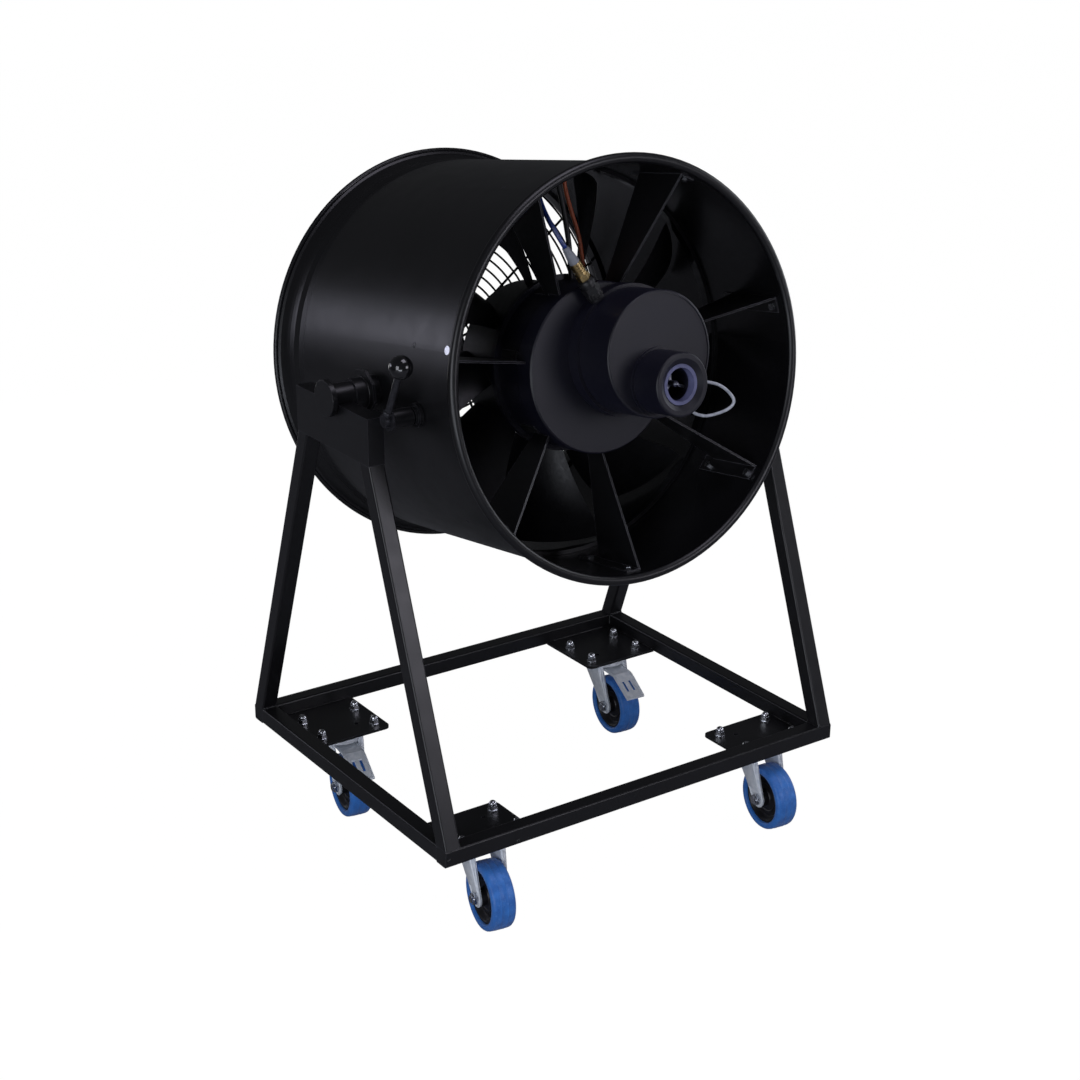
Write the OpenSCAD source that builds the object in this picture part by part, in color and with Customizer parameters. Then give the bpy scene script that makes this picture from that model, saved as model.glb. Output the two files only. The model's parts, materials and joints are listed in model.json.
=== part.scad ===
// Drum fan on a wheeled A-frame stand.
// The drum blows towards -Y and tilts on two stub axles. The origin lies on the floor, under the middle
// of the whole fan. The drum's own pieces are drawn along +Z, outlet up, and laid down by at_drum().

/* [Base frame] */
// Room from the drum's shell to the outer side of each side rail
side_room = 67; // [60:1:160]
// Depth of the base over its front and rear rails
base_d = 560; // [500:5:720]
// Outer width of the square steel tube
tube = 25; // [20:1:32]
// Wall of the square tube
tube_wall = 2; // [1.5:0.25:3]
// Outer corner radius of the square tube
tube_corner = 3; // [2:0.5:4]
// Width of a corner plate
corner_plate_w = 133; // [125:1:150]
// Depth of a rear corner plate
corner_plate_rear = 125; // [120:1:150]
// Depth of a front corner plate
corner_plate_front = 92; // [90:1:120]
// Thickness of a corner plate
corner_plate_t = 4; // [3:0.5:6]
// Radius of a corner plate's free corner
corner_plate_round = 10; // [3:1:20]
// Radius of the spare hole in a corner plate
spare_hole_r = 3.5; // [2.5:0.5:4]

/* [Side frames] */
// Height of the drum's tilt axis above the floor
trunnion_z = 724; // [680:2:900]
// Length of the saddle on top of a side frame
head_l = 197; // [180:1:240]
// Height of the saddle
head_h = 66; // [55:1:90]
// Height of the tilt axis above the saddle's top
axis_above_head = 6; // [0:0.5:10]
// Clearance of the saddle's notch round the stub axle
notch_clear = 0.3; // [0.2:0.05:0.5]

/* [Drum] */
// Outer radius of the drum's shell
shell_r = 283; // [260:1:286]
// Sheet thickness of the shell
sheet = 2.5; // [1.5:0.25:3]
// Distance from the tilt axis to the outlet edge
outlet_l = 221; // [200:1:260]
// Distance from the tilt axis to the inlet edge
inlet_l = 267; // [240:1:300]
// Radius of the rolled bead at the outlet
bead_r = 7; // [5:0.5:9]
// Length of the flared inlet ring
inlet_ring_l = 66; // [50:1:80]
// How far the inlet ring flares past the shell
flare = 13; // [8:0.5:16]
// Radius of the rolled lip of the inlet ring
lip_r = 4; // [3:0.5:5]
// Depth of the groove between shell and flare
groove_depth = 4; // [2:0.5:6]
// Tilt of the drum as stored, outlet up
tilt = 8; // [0:0.5:20]
// Radial depth of the ring round the impeller
throat_depth = 5.5; // [4:0.5:6]
// Length of the ring round the impeller
throat_l = 20; // [12:1:30]
// Distance from the tilt axis to the throat ring's rear edge
throat_z = 30; // [25:1:34]

/* [Inlet grille] */
// Wire radius of the grille's rings
ring_wire_r = 1.6; // [1:0.1:2]
// Wire radius of the grille's spokes
spoke_wire_r = 2; // [1.5:0.1:2.5]
// Spacing of the grille's rings
ring_pitch = 15; // [12:0.5:30]
// Radius of the grille's innermost ring
ring_first_r = 30; // [24:1:50]
// Number of spokes
spoke_count = 20; // [12:2:32]

/* [Guide vanes] */
// Angle by which all guide vanes turn round the drum's axis
vane_turn = 0; // [-10:0.5:10]
// Sheet thickness of a vane
vane_t = 3; // [2:0.25:4]
// Distance from the tilt axis to the front of a vane at the shell
vane_front_z = 203; // [180:1:205]
// Distance from the tilt axis to the front of a vane at the motor
vane_root_front_z = 133; // [118:1:140]
// Distance from the tilt axis to the rear of a vane at the shell
vane_rear_z = 108; // [96:1:120]
// Distance from the tilt axis to the rear of a vane at the motor
vane_root_rear_z = 98; // [80:1:104]
// Distance from the tilt axis to the rear end of a vane's foot
vane_foot_rear_z = 90; // [70:1:96]
// Width of a vane's bent foot
vane_foot_w = 22; // [16:1:28]
// Radius of a vane bolt's shank
vane_bolt_r = 3; // [2.5:0.25:4]

/* [Motor] */
// Radius of the motor's front cover
motor_r = 120; // [105:1:125]
// Distance from the tilt axis to the motor's front face
motor_front_z = 145; // [135:1:150]
// Length of the motor's front cover
motor_cover_l = 33; // [24:1:40]
// Distance from the tilt axis to the motor's rear flange
motor_rear_z = 54; // [52:1:60]
// Thickness of the motor's rear flange
motor_flange_t = 8; // [5:0.5:10]
// How far the rear flange stands past the motor body
motor_flange_step = 7; // [4:0.5:10]
// Wall of the motor casing
motor_wall = 3; // [2:0.25:5]
// Radius of the motor shaft
shaft_r = 12; // [10:0.5:15]
// Running clearance round the shaft
shaft_clear = 0.05; // [0.02:0.01:0.1]

/* [Impeller] */
// Number of blades
blade_count = 9; // [5:1:9]
// Angle of the first blade
blade_phase = 18; // [0:1:40]
// Radius of the impeller's hub
hub_r = 112; // [100:1:116]
// Length of the hub's rim
hub_l = 88; // [80:1:100]
// Distance from the tilt axis to the hub's front face
hub_front_z = 47; // [40:1:48]
// Bulge of the hub's nose towards the inlet
nose_h = 26; // [10:1:40]
// Gap from the blades' tips to the ring round the impeller
tip_gap = 4; // [2:0.5:10]
// Blade chord at the hub
chord_root = 75; // [60:1:76]
// Blade chord at the tip
chord_tip = 155; // [120:1:156]
// Blade angle to the disc plane at the hub
pitch_root = 56; // [46:1:60]
// Blade angle to the disc plane at the tip
pitch_tip = 38; // [30:1:40]
// Angle by which the tip leads the hub
blade_sweep = 11; // [0:1:14]
// Blade thickness in the middle
blade_t = 5; // [4:0.5:7]
// Share of the chord that the blade bows by
camber_share = 0.07; // [0.02:0.01:0.1]

/* [Front housing and nozzle] */
// Radius of the front housing
housing_r = 88; // [70:1:90]
// Length of the front housing
housing_l = 85; // [60:1:100]
// Sideways offset of the housing from the drum's axis
housing_x = 37; // [20:1:40]
// Upward offset of the housing from the drum's axis
housing_y = 21; // [10:1:25]
// Step of the housing's rear flange
housing_step = 5; // [3:0.5:7]
// Length of the housing's rear flange
housing_flange_l = 20; // [12:1:26]
// Wall of the housing
housing_wall = 3; // [2:0.25:4]
// Edge radius of the housing's front
housing_edge = 3; // [1:0.5:5]
// Radius of the nozzle
nozzle_r = 44; // [38:0.5:46]
// Length of the nozzle
nozzle_l = 53; // [40:1:60]
// Sideways offset of the nozzle from the drum's axis
nozzle_x = 32; // [24:1:40]
// Downward offset of the nozzle from the drum's axis
nozzle_drop = 15; // [8:1:20]
// Bore radius of the nozzle's mouth ring
mouth_r = 23; // [20:0.5:26]
// Radial width of the mouth ring
mouth_ring_w = 5; // [3:0.5:6]
// Depth of the mouth ring
mouth_ring_l = 12; // [8:1:16]
// Depth of the funnel in front of the mouth ring
funnel_l = 5; // [3:0.5:8]
// Radial width of the funnel
funnel_w = 8; // [5:0.5:9]
// Radius of the nozzle's centre pin
pin_r = 4.5; // [3:0.5:6]

/* [Stub axles and clamp] */
// Radius of a stub axle
stub_r = 18; // [15:0.5:20]
// Wall of a stub axle
stub_wall = 4; // [3:0.5:6]
// Radius of the collar on a stub axle
collar_r = 21; // [19:0.5:24]
// Length of the collar outside the eight-sided plate
collar_l = 19; // [10:1:20]
// Radius over the corners of the eight-sided plate
stub_plate_r = 32.5; // [28:0.5:36]
// Distance of the eight-sided plate from the shell
stub_plate_off = 14; // [8:0.5:16]
// Thickness of the eight-sided plate
stub_plate_t = 4; // [3:0.5:6]
// Radius of a stub axle's end cap
cap_r = 26; // [22:0.5:30]
// Thickness of an end cap
cap_t = 8; // [6:0.5:12]
// Side play between an end cap and the saddle
cap_gap = 3; // [0.5:0.5:4]
// Distance of the clamp screw ahead of the tilt axis
clamp_ahead = 116; // [112:1:130]
// Distance of the clamp screw below the tilt axis
clamp_below = 6; // [0:1:14]
// Radius of the clamp screw
screw_r = 8; // [6:0.5:9]
// Running clearance of the clamp screw
screw_clear = 0.06; // [0.02:0.01:0.1]
// Radius of the lever's hub
lever_hub_r = 9; // [8:0.5:11]
// Length of the lever's hub
lever_hub_l = 10; // [8:0.5:13]
// Radius of the flange under the lever's hub
lever_flange_r = 14.5; // [12:0.5:16]
// Thickness of that flange
lever_flange_t = 3; // [2:0.5:4]
// Reach of the clamp lever from hub to ball
lever_l = 91; // [70:1:110]
// Forward lean of the clamp lever
lever_lean = 26; // [0:1:40]
// Radius of the lever's rod
lever_rod_r = 5; // [4:0.5:6]
// Radius of the lever's ball
ball_r = 16; // [12:0.5:18]
// Radius of the clamp pad
pad_r = 16.5; // [15:0.5:20]
// Gap between the clamp pad and the shell as stored
pad_gap = 1; // [0.9:0.1:1.5]

/* [Casters] */
// Height from floor to the top of a caster's plate
caster_h = 130; // [126:1:145]
// Wheel radius
wheel_r = 50; // [45:0.5:52]
// Tyre width
tyre_w = 32; // [28:1:34]
// Shoulder radius of the tyre
tyre_round = 8; // [5:0.5:10]
// Radial thickness of the tyre
tyre_t = 11; // [10:0.5:14]
// Offset of the wheel's axle behind the swivel axis
trail = 44; // [38:1:46]
// Distance from the base's side to a caster's swivel axis
caster_side = 94; // [92:1:100]
// Distance from the base's rear to a rear caster's swivel axis
caster_rear = 98; // [94:1:104]
// Distance from the base's front to a front caster's swivel axis
caster_front = 66; // [65:1:72]
// Swivel of the front left caster as stored
yaw_fl = -9; // [-30:1:30]
// Swivel of the front right caster as stored
yaw_fr = -6; // [-30:1:30]
// Swivel of the rear left caster as stored
yaw_rl = -8; // [-30:1:30]
// Swivel of the rear right caster as stored
yaw_rr = -4; // [-30:1:30]
// Width of a caster's top plate
top_plate_w = 118; // [110:1:122]
// Depth of a caster's top plate
top_plate_d = 86; // [82:1:92]
// Bolt spacing across a caster's top plate
bolt_x = 92; // [80:1:94]
// Bolt spacing along a caster's top plate
bolt_y = 62; // [56:1:62]
// Radius of a caster bolt's shank
bolt_r = 4; // [3:0.5:4]
// Clearance of the bolt holes
bolt_clear = 0.25; // [0.15:0.05:0.5]
// Sheet thickness of the caster's steel
fork_t = 3; // [2.5:0.25:4]
// Gap between a fork's legs
fork_gap = 38; // [37:0.5:42]
// Radius of a fork's crown
crown_r = 37; // [34:0.5:40]
// Radius of the swivel rivet
kingpin_r = 6; // [5:0.5:7]
// Radius of the wheel's axle
axle_r = 6; // [5:0.5:7]
// Running clearance of swivels and wheels
swivel_clear = 0.06; // [0.03:0.01:0.1]

/* [Hidden] */
$fn = 64;
over = 1;                 // overrun of every cut
seat = 0.3;               // gap between pieces that only lie against each other

// Values that follow from the base, which is as wide as the drum and the room at its sides
base_w = 2 * (shell_r + side_room);
tube_inner_corner = tube_corner / 2;
rail_z = caster_h;
rail_top = rail_z + tube;
head_top = trunnion_z - axis_above_head;
head_bottom = head_top - head_h;
leg_lean = atan((base_d - head_l) / 2 / (head_bottom - rail_top));
leg_foot_y = base_d / 2 - tube / cos(leg_lean) / 2;
bolt_hole_r = bolt_r + bolt_clear;

// Casters: swivel axis x, swivel axis y, stored swivel, and whether it has a brake
caster_x = base_w / 2 - caster_side;
caster_y_rear = base_d / 2 - caster_rear;
caster_y_front = base_d / 2 - caster_front;
CASTERS = [
  [-caster_x, -caster_y_front, yaw_fl, false],
  [caster_x, -caster_y_front, yaw_fr, false],
  [-caster_x, caster_y_rear, yaw_rl, true],
  [caster_x, caster_y_rear, yaw_rr, true],
];
FL = 0;
FR = 1;
RL = 2;
RR = 3;
axle_drop = caster_h - wheel_r;
race_drop = 5;
race_inner_r = 17;
race_outer_r = 33;
crown_top = -fork_t - race_drop - seat;
kingpin_head_r = 10;
kingpin_head_t = 3.4;
leg_front_share = 0.65;   // of the crown's radius
leg_back_share = 0.81;
leg_end_r = 13;
axle_head_r = 9.5;
axle_head_t = 6;
axle_end = 3;
bolt_head_t = 5.3;
bolt_head_r = 7.2;
washer_r = 8;
washer_t = 1.6;
nut_r = 7.4;
nut_h = 6.5;
dome_r = 6;
dome_h = 7;
spare_hole_shift_x = -23;
spare_hole_shift_rear = -16;
spare_hole_shift_front = 20;

// Brake pedal, seen from the side of the caster
pedal_pivot_y = -22;
pedal_pivot_z = -19.5;
pedal_hub_r = 4.5;
pedal_pin_r = 3;
pedal_w = 34;
pedal_t = 3;
pedal_bend_y = -60;
pedal_bend_z = -20;
pedal_tip_y = -104;
pedal_tip_z = -46;
pedal_slot_w = 5;
pedal_slot_l = 20;
pedal_slot_spacing = 12;

// The whole fan's reach to the front and to the rear, which puts the origin under its middle
function wheel_reach(yaw) = caster_y_front + trail * cos(yaw) + (wheel_r - tyre_round) * cos(yaw)
  + (tyre_w / 2 - tyre_round) * abs(sin(yaw)) + tyre_round;
lip_centre_r = shell_r + flare;
lip_centre_z = inlet_l - lip_r;
front_reach = max(wheel_reach(yaw_fl), wheel_reach(yaw_fr));
rear_reach = lip_centre_z * cos(tilt) + lip_centre_r * sin(tilt) + lip_r;
stand_y = (front_reach - rear_reach) / 2;

// Drum
shell_in = shell_r - sheet;
bead_centre_r = shell_r + bead_r - sheet;
bead_centre_z = outlet_l - bead_r;
shell_rear_z = inlet_ring_l - inlet_l;
FLARE_SHARES = [0, 0.03, 0.12, 0.27, 0.48, 0.72, 1];
GROOVE_SHARES = [[0, 0], [0.12, 1], [0.34, 1], [0.46, 0]];
grille_z = -(inlet_l - lip_r);
spoke_z = grille_z + ring_wire_r + spoke_wire_r + seat / 3;
ring_last_r = lip_centre_r - lip_r - 2 * ring_wire_r;
spoke_end_r = ring_last_r - ring_wire_r / 2;
grille_hub_r = ring_first_r - ring_wire_r - seat;
grille_hub_t = 6;

// Motor and vanes
motor_body_step = 1.5;
motor_body_r = motor_r - motor_body_step;
motor_groove = 3;
motor_body_front_z = motor_front_z - motor_cover_l - motor_groove;
motor_body_rear_z = motor_rear_z + motor_flange_t;
motor_groove_depth = 4;
motor_groove_r = motor_r - motor_groove_depth;
motor_cover_edge = 2;
motor_face_t = 4;
motor_hole_gap = 6;
motor_hole_r = shaft_r + motor_hole_gap;
core_wall_gap = seat;
core_l = 60;
VANE_ANGLES = [66, 13.5, -38, -90, -137, 168.5, 116.5];
vane_foot_t = 2;
vane_inner_foot_w = 14;
vane_inner_foot_l = 36;
vane_cover_gap = 1.5;
vane_bolt_front = 10;
vane_bolt_rear = 16;
vane_bolt_side = 13;
vane_bolt_head_r = 5.5;
vane_bolt_head_h = 4;
outer_bolt_vane = 5;
outer_bolt_head_r = 6;
outer_bolt_head_h = 3;

// Impeller
hub_wall = 4;
hub_boss_r = 24;
hub_boss_l = 40;
shaft_reach = 52;
shaft_floor = 2;
shaft_front_z = motor_body_rear_z + shaft_reach;
shaft_rear_z = hub_front_z - hub_boss_l + shaft_floor;
blade_z = 0;
blade_root_r = hub_r + seat;
tip_r = shell_in - throat_depth - tip_gap;
BLADE_STATIONS = [0, 0.12, 0.3, 0.5, 0.7, 0.86, 0.96, 1];
TIP_CHORD_SHARES = [1, 1, 1, 1, 1, 1, 0.97, 0.86];
BLADE_CHORD_SHARES = [0, 0.06, 0.22, 0.42, 0.62, 0.82, 1];
BLADE_THICK_SHARES = [0.12, 0.62, 0.96, 1, 0.8, 0.5, 0.1];

// Front housing and nozzle
housing_front_z = motor_front_z + housing_l;
housing_lid_inset = 1.2;
housing_rim = 4;
housing_lid_t = 4;
nozzle_front_z = housing_front_z + nozzle_l;
nozzle_flange_w = 3;
nozzle_flange_r = nozzle_r + nozzle_flange_w;
nozzle_flange_t = 3;
nozzle_edge = 3;
ring_clear = 0.2;
mouth_ring_out = mouth_r + mouth_ring_w;
ring_front_z = nozzle_front_z - funnel_l;
mouth_ring_proud = 0.8;
nozzle_floor = 4;
spider_back = 12;
spider_z = ring_front_z - mouth_ring_l - spider_back;
spider_t = 3;
spider_arm_w = 4;
pin_l = 14;
SPIDER_ANGLES = [95, 222, 340];

// Stub axles and clamp
stub_end_x = base_w / 2 + cap_gap;
cap_plug_l = 12;
cap_plug_gap = 0.2;
notch_r = stub_r + notch_clear;
head_in_x = base_w / 2 - tube;
bracket_t = 8;
bracket_back = 52;
bracket_h = 12;
boss_r = 13;
boss_gap = 3;
lever_gap = 1.5;
lever_hub_in_x = head_in_x + lever_gap;
lever_x = lever_hub_in_x + lever_hub_l / 2;
pad_t = 5;
pad_in_x = shell_r + pad_gap;
pad_sleeve_r = 12.5;
pad_sleeve_l = 4;
pad_web = 1.8;
screw_gap = 0.5;
pad_bore_end_x = pad_in_x + pad_web;
screw_end_x = pad_bore_end_x + screw_gap;
boss_end_x = pad_in_x + pad_t + pad_sleeve_l + boss_gap;
ball_flat = 2;

// Hose, cables and the nozzle's loop, as points in the drum's frame
connector_angle = 122;
connector_z = 160;
connector_r = 11;
connector_l = 34;
connector_nut_r = 13;
connector_nut_l = 9;
fitting_r = 8;
fitting_l = 28;
fitting_nut_r = 9.5;
fitting_nut_l = 8;
relief_l = 26;
relief_r1 = 7.5;
relief_r2 = 4.6;
hose_r = 4;
hose_sides = 10;
shell_gland_r = 9;
shell_gland_l = 14;
loop_r = 3.2;
loop_sides = 8;
cable_r = 4;
cable_sides = 8;
cable_z = 70;
MOTOR_CABLE = [[33, 115.2], [33, 126], [32, 150], [28, 180], [19, 212], [12, 240], [10, 262]];
SENSOR_CABLE = [[10.8, 118.3], [11, 140], [11, 165], [9, 190], [6, 215], [2, 240], [-2, 262]];
LOOP_BENDS = [[88, -20], [106, -26], [120, -36], [128, -48], [127, -60], [116, -68], [100, -71], [80, -70]];
HOSE_BENDS = [[-75, 206, 155], [-78, 219, 149], [-79, 232, 142]];
shell_gland_angle = 108;
shell_gland_z = 137;

// Places and turns
module at_stand() translate([0, stand_y, 0]) children();
module at_drum() translate([0, stand_y, trunnion_z]) rotate([90 - tilt, 0, 0]) children();
module at_caster(c) at_stand() translate([c[0], c[1], caster_h]) rotate([0, 0, c[2]]) children();
module along_x() rotate([0, 90, 0]) children();
module at_clamp() at_stand() translate([0, -clamp_ahead, trunnion_z - clamp_below]) children();
module both_ends(gap) for (s = [-1, 1]) translate([0, 0, s * gap]) children();

// Square tube with rounded corners
module rounded_square(w, r) {
  square([w, w - 2 * r], center = true);
  square([w - 2 * r, w], center = true);
  for (sx = [-1, 1], sy = [-1, 1])
    translate([sx * (w / 2 - r), sy * (w / 2 - r)]) circle(r);
}

module tube_length(l) {
  difference() {
    linear_extrude(l, center = true) rounded_square(tube, tube_corner);
    linear_extrude(l + 2 * over, center = true)
      rounded_square(tube - 2 * tube_wall, tube_inner_corner);
  }
}

module capped_tube(l) {
  tube_length(l);
  for (s = [-1, 1]) translate([0, 0, s * (l - tube_wall) / 2])
    linear_extrude(tube_wall, center = true) rounded_square(tube, tube_corner);
}

// Base rails
module cross_rail(y) {
  color("#1c1d20") at_stand() translate([0, y, rail_z + tube / 2]) along_x() capped_tube(base_w);
}

module side_rail(side) {
  color("#1c1d20") at_stand() translate([side * (base_w - tube) / 2, 0, rail_z + tube / 2])
    rotate([90, 0, 0]) tube_length(base_d - 2 * tube);
}

// A leg leans from the base's corner to the end of the saddle
module leg(side, end) {
  leg_h = head_bottom - rail_top;
  color("#1c1d20") at_stand() intersection() {
    translate([side * (base_w - tube) / 2, end * base_d / 4, rail_top + leg_h / 2])
      cube([2 * tube, base_d, leg_h], center = true);
    translate([side * (base_w - tube) / 2, end * leg_foot_y, rail_top])
      rotate([end * leg_lean, 0, 0]) tube_length(2 * leg_h + 4 * tube);
  }
}

// Saddle with the notch that carries a stub axle
module head_block(side) {
  difference() {
    translate([side * (base_w - tube) / 2, 0, head_top - head_h / 2])
      cube([tube, head_l, head_h], center = true);
    translate([side * (base_w - tube) / 2, 0, trunnion_z]) along_x()
      cylinder(h = tube + 2 * over, r = notch_r, center = true);
  }
}

module clamp_bracket() {
  screw_z = trunnion_z - clamp_below;
  difference() {
    union() {
      translate([-head_in_x, -clamp_ahead, head_top - bracket_h])
        cube([bracket_t, bracket_back, bracket_h]);
      translate([-head_in_x, -clamp_ahead, screw_z]) along_x()
        cylinder(h = head_in_x - boss_end_x, r = boss_r);
    }
    translate([-head_in_x - over, -clamp_ahead, screw_z]) along_x()
      cylinder(h = head_in_x - boss_end_x + 2 * over, r = screw_r + screw_clear);
  }
}

module head_left() {
  color("#1c1d20") at_stand() {
    head_block(-1);
    clamp_bracket();
  }
}

module head_right() {
  color("#1c1d20") at_stand() head_block(1);
}

// Corner plates, flush with the underside of the rails
module corner_plate(c, depth, spare_y) {
  side = sign(c[0]);
  end = sign(c[1]);
  in_x = base_w / 2 - tube;
  in_y = base_d / 2 - tube;
  difference() {
    linear_extrude(corner_plate_t) difference() {
      union() {
        translate([side * (in_x - corner_plate_w / 2 + corner_plate_round / 2), end * (in_y - depth / 2)])
          square([corner_plate_w - corner_plate_round, depth], center = true);
        translate([side * (in_x - corner_plate_w / 2), end * (in_y - depth / 2 + corner_plate_round / 2)])
          square([corner_plate_w, depth - corner_plate_round], center = true);
        translate([side * (in_x - corner_plate_w + corner_plate_round),
                   end * (in_y - depth + corner_plate_round)]) circle(corner_plate_round);
      }
      for (sx = [-1, 1], sy = [-1, 1])
        translate([c[0] + sx * bolt_x / 2, c[1] + sy * bolt_y / 2]) circle(bolt_hole_r);
      translate([c[0] + side * spare_hole_shift_x, c[1] + spare_y]) circle(spare_hole_r);
    }
  }
}

module corner_plates() {
  color("#222327") at_stand() translate([0, 0, rail_z]) {
    for (c = [CASTERS[FL], CASTERS[FR]]) corner_plate(c, corner_plate_front, spare_hole_shift_front);
    for (c = [CASTERS[RL], CASTERS[RR]]) corner_plate(c, corner_plate_rear, spare_hole_shift_rear);
  }
}

// A caster bolt, its washer and its domed nut
module caster_bolt() {
  nut_z = corner_plate_t + washer_t;
  translate([0, 0, -fork_t - bolt_head_t]) cylinder(h = bolt_head_t, r = bolt_head_r, $fn = 6);
  translate([0, 0, -fork_t - over / 2]) cylinder(h = fork_t + nut_z + over, r = bolt_r);
  translate([0, 0, corner_plate_t]) cylinder(h = washer_t, r = washer_r);
  translate([0, 0, nut_z]) cylinder(h = nut_h, r = nut_r, $fn = 6);
  translate([0, 0, nut_z + nut_h]) rotate_extrude() intersection() {
    square([dome_r, dome_h]);
    translate([0, dome_h - dome_r]) union() {
      circle(dome_r);
      translate([0, -dome_r]) square([dome_r, dome_r]);
    }
  }
}

module caster_bolts() {
  color("#c3c6cb") at_stand() translate([0, 0, rail_z])
    for (c = CASTERS, sx = [-1, 1], sy = [-1, 1])
      translate([c[0] + sx * bolt_x / 2, c[1] + sy * bolt_y / 2, 0]) caster_bolt();
}

// Caster top plates with race and swivel rivet. The plates stay square to the base.
module caster_plate() {
  difference() {
    translate([0, 0, -fork_t / 2]) cube([top_plate_w, top_plate_d, fork_t], center = true);
    for (sx = [-1, 1], sy = [-1, 1]) translate([sx * bolt_x / 2, sy * bolt_y / 2, -fork_t - over])
      cylinder(h = fork_t + 2 * over, r = bolt_hole_r);
  }
  translate([0, 0, -fork_t - race_drop]) rotate_extrude() {
    translate([race_inner_r, 0]) square([race_outer_r - race_inner_r - race_drop, race_drop]);
    translate([race_outer_r - race_drop, race_drop]) intersection() {
      circle(race_drop);
      translate([0, -race_drop]) square(race_drop);
    }
  }
  kingpin_l = fork_t + race_drop + seat + fork_t + seat;
  translate([0, 0, -kingpin_l]) cylinder(h = kingpin_l - fork_t / 2, r = kingpin_r);
  translate([0, 0, -kingpin_l - kingpin_head_t]) cylinder(h = kingpin_head_t, r = kingpin_head_r);
}

module caster_plates() {
  color("#aab0b8") for (c = CASTERS) at_stand() translate([c[0], c[1], caster_h]) caster_plate();
}

// Fork: a crown under the race and two legs that taper to the axle
module fork_leg_shape(clip) {
  front_angle = -40;
  back_angle = 170;
  polygon([
    [-crown_r * leg_back_share, crown_top],
    [crown_r * leg_front_share, crown_top],
    [-trail + leg_end_r * cos(front_angle), -axle_drop + leg_end_r * sin(front_angle)],
    [-trail, -axle_drop],
    [-trail + leg_end_r * cos(back_angle), -axle_drop + leg_end_r * sin(back_angle)],
  ]);
  translate([-trail, -axle_drop]) circle(leg_end_r);
}

module fork(c) {
  leg_x = (fork_gap + fork_t) / 2;
  color("#aab0b8") at_caster(c) difference() {
    union() {
      translate([0, 0, crown_top - fork_t]) cylinder(h = fork_t, r = crown_r);
      for (s = [-1, 1]) translate([s * leg_x, 0, 0]) rotate([90, 0, 90])
        linear_extrude(fork_t, center = true) fork_leg_shape();
    }
    translate([0, 0, crown_top - fork_t - over]) cylinder(h = fork_t + 2 * over, r = kingpin_r + swivel_clear);
    translate([0, -trail, -axle_drop]) along_x()
      cylinder(h = 2 * fork_gap, r = axle_r + swivel_clear, center = true);
    if (c[3]) translate([0, pedal_pivot_y, pedal_pivot_z]) along_x()
      cylinder(h = 2 * fork_gap, r = pedal_pin_r + swivel_clear, center = true);
  }
}

// Axle bolt with head and nut, and the brake pedal's pin on the rear casters
module axle(c) {
  face_x = fork_gap / 2 + fork_t;
  color("#c3c6cb") at_caster(c) {
    translate([0, -trail, -axle_drop]) along_x() {
      cylinder(h = 2 * (face_x + axle_head_t + axle_end), r = axle_r, center = true);
      both_ends(face_x + axle_head_t / 2) cylinder(h = axle_head_t, r = axle_head_r, center = true, $fn = 6);
    }
    if (c[3]) translate([0, pedal_pivot_y, pedal_pivot_z]) along_x()
      cylinder(h = 2 * face_x, r = pedal_pin_r, center = true);
  }
}

// Wheel: a moulded rim with a hub and web, and a tyre with round shoulders
rim_r = wheel_r - tyre_t;
rim_ring_t = 5;
rim_web_half = 5;
hub_tube_r = 13;
hub_side_gap = 0.6;
hub_half = fork_gap / 2 - hub_side_gap;
rim_inset = 2;
rim_half = tyre_w / 2 - rim_inset;

module at_wheel(c) at_caster(c) translate([0, -trail, -axle_drop]) along_x() children();

module rim(c) {
  color("#17181a") at_wheel(c) rotate_extrude() difference() {
    union() {
      translate([0, -hub_half]) square([hub_tube_r, 2 * hub_half]);
      translate([0, -rim_web_half]) square([rim_r, 2 * rim_web_half]);
      translate([rim_r - rim_ring_t, -rim_half]) square([rim_ring_t, 2 * rim_half]);
    }
    translate([0, -fork_gap]) square([axle_r + swivel_clear, 2 * fork_gap]);
  }
}

module tyre(c) {
  core_half = tyre_w / 2 - tyre_round;
  color("#2f6fd0") at_wheel(c) rotate_extrude() difference() {
    union() {
      translate([rim_r, -core_half]) square([tyre_t, 2 * core_half]);
      translate([rim_r, -tyre_w / 2]) square([tyre_t - tyre_round, tyre_w]);
      for (s = [-1, 1]) translate([wheel_r - tyre_round, s * core_half]) circle(tyre_round);
    }
    translate([0, -tyre_w]) square([rim_r, 2 * tyre_w]);
  }
}

// Brake pedal: a bent plate on a hub tube, with two slots in its tread
module pedal(c) {
  lift = pedal_t / 2;
  color("#aab0b8") at_caster(c) difference() {
    union() {
      rotate([90, 0, 90]) linear_extrude(pedal_w, center = true) union() {
        translate([pedal_pivot_y, pedal_pivot_z]) circle(pedal_hub_r);
        polygon([
          [pedal_pivot_y, pedal_pivot_z + lift], [pedal_bend_y, pedal_bend_z + lift],
          [pedal_tip_y, pedal_tip_z + lift], [pedal_tip_y, pedal_tip_z - lift],
          [pedal_bend_y, pedal_bend_z - lift], [pedal_pivot_y, pedal_pivot_z - lift],
        ]);
      }
    }
    translate([0, pedal_pivot_y, pedal_pivot_z]) along_x()
      cylinder(h = 2 * pedal_w, r = pedal_pin_r + swivel_clear, center = true);
    for (k = [-1, 1]) translate([k * pedal_slot_spacing / 2, (pedal_bend_y + pedal_tip_y) / 2, 0])
      cube([pedal_slot_w, pedal_slot_l, 2 * caster_h], center = true);
  }
}

// Drum shell with its rolled outlet bead
module vane_angles() for (a = VANE_ANGLES) rotate([0, 0, vane_turn + a]) children();

module vane_bolt_place(z) rotate([0, 0, -asin(vane_bolt_side / shell_in)]) translate([0, 0, z]) rotate([0, 90, 0])
  children();

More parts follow.
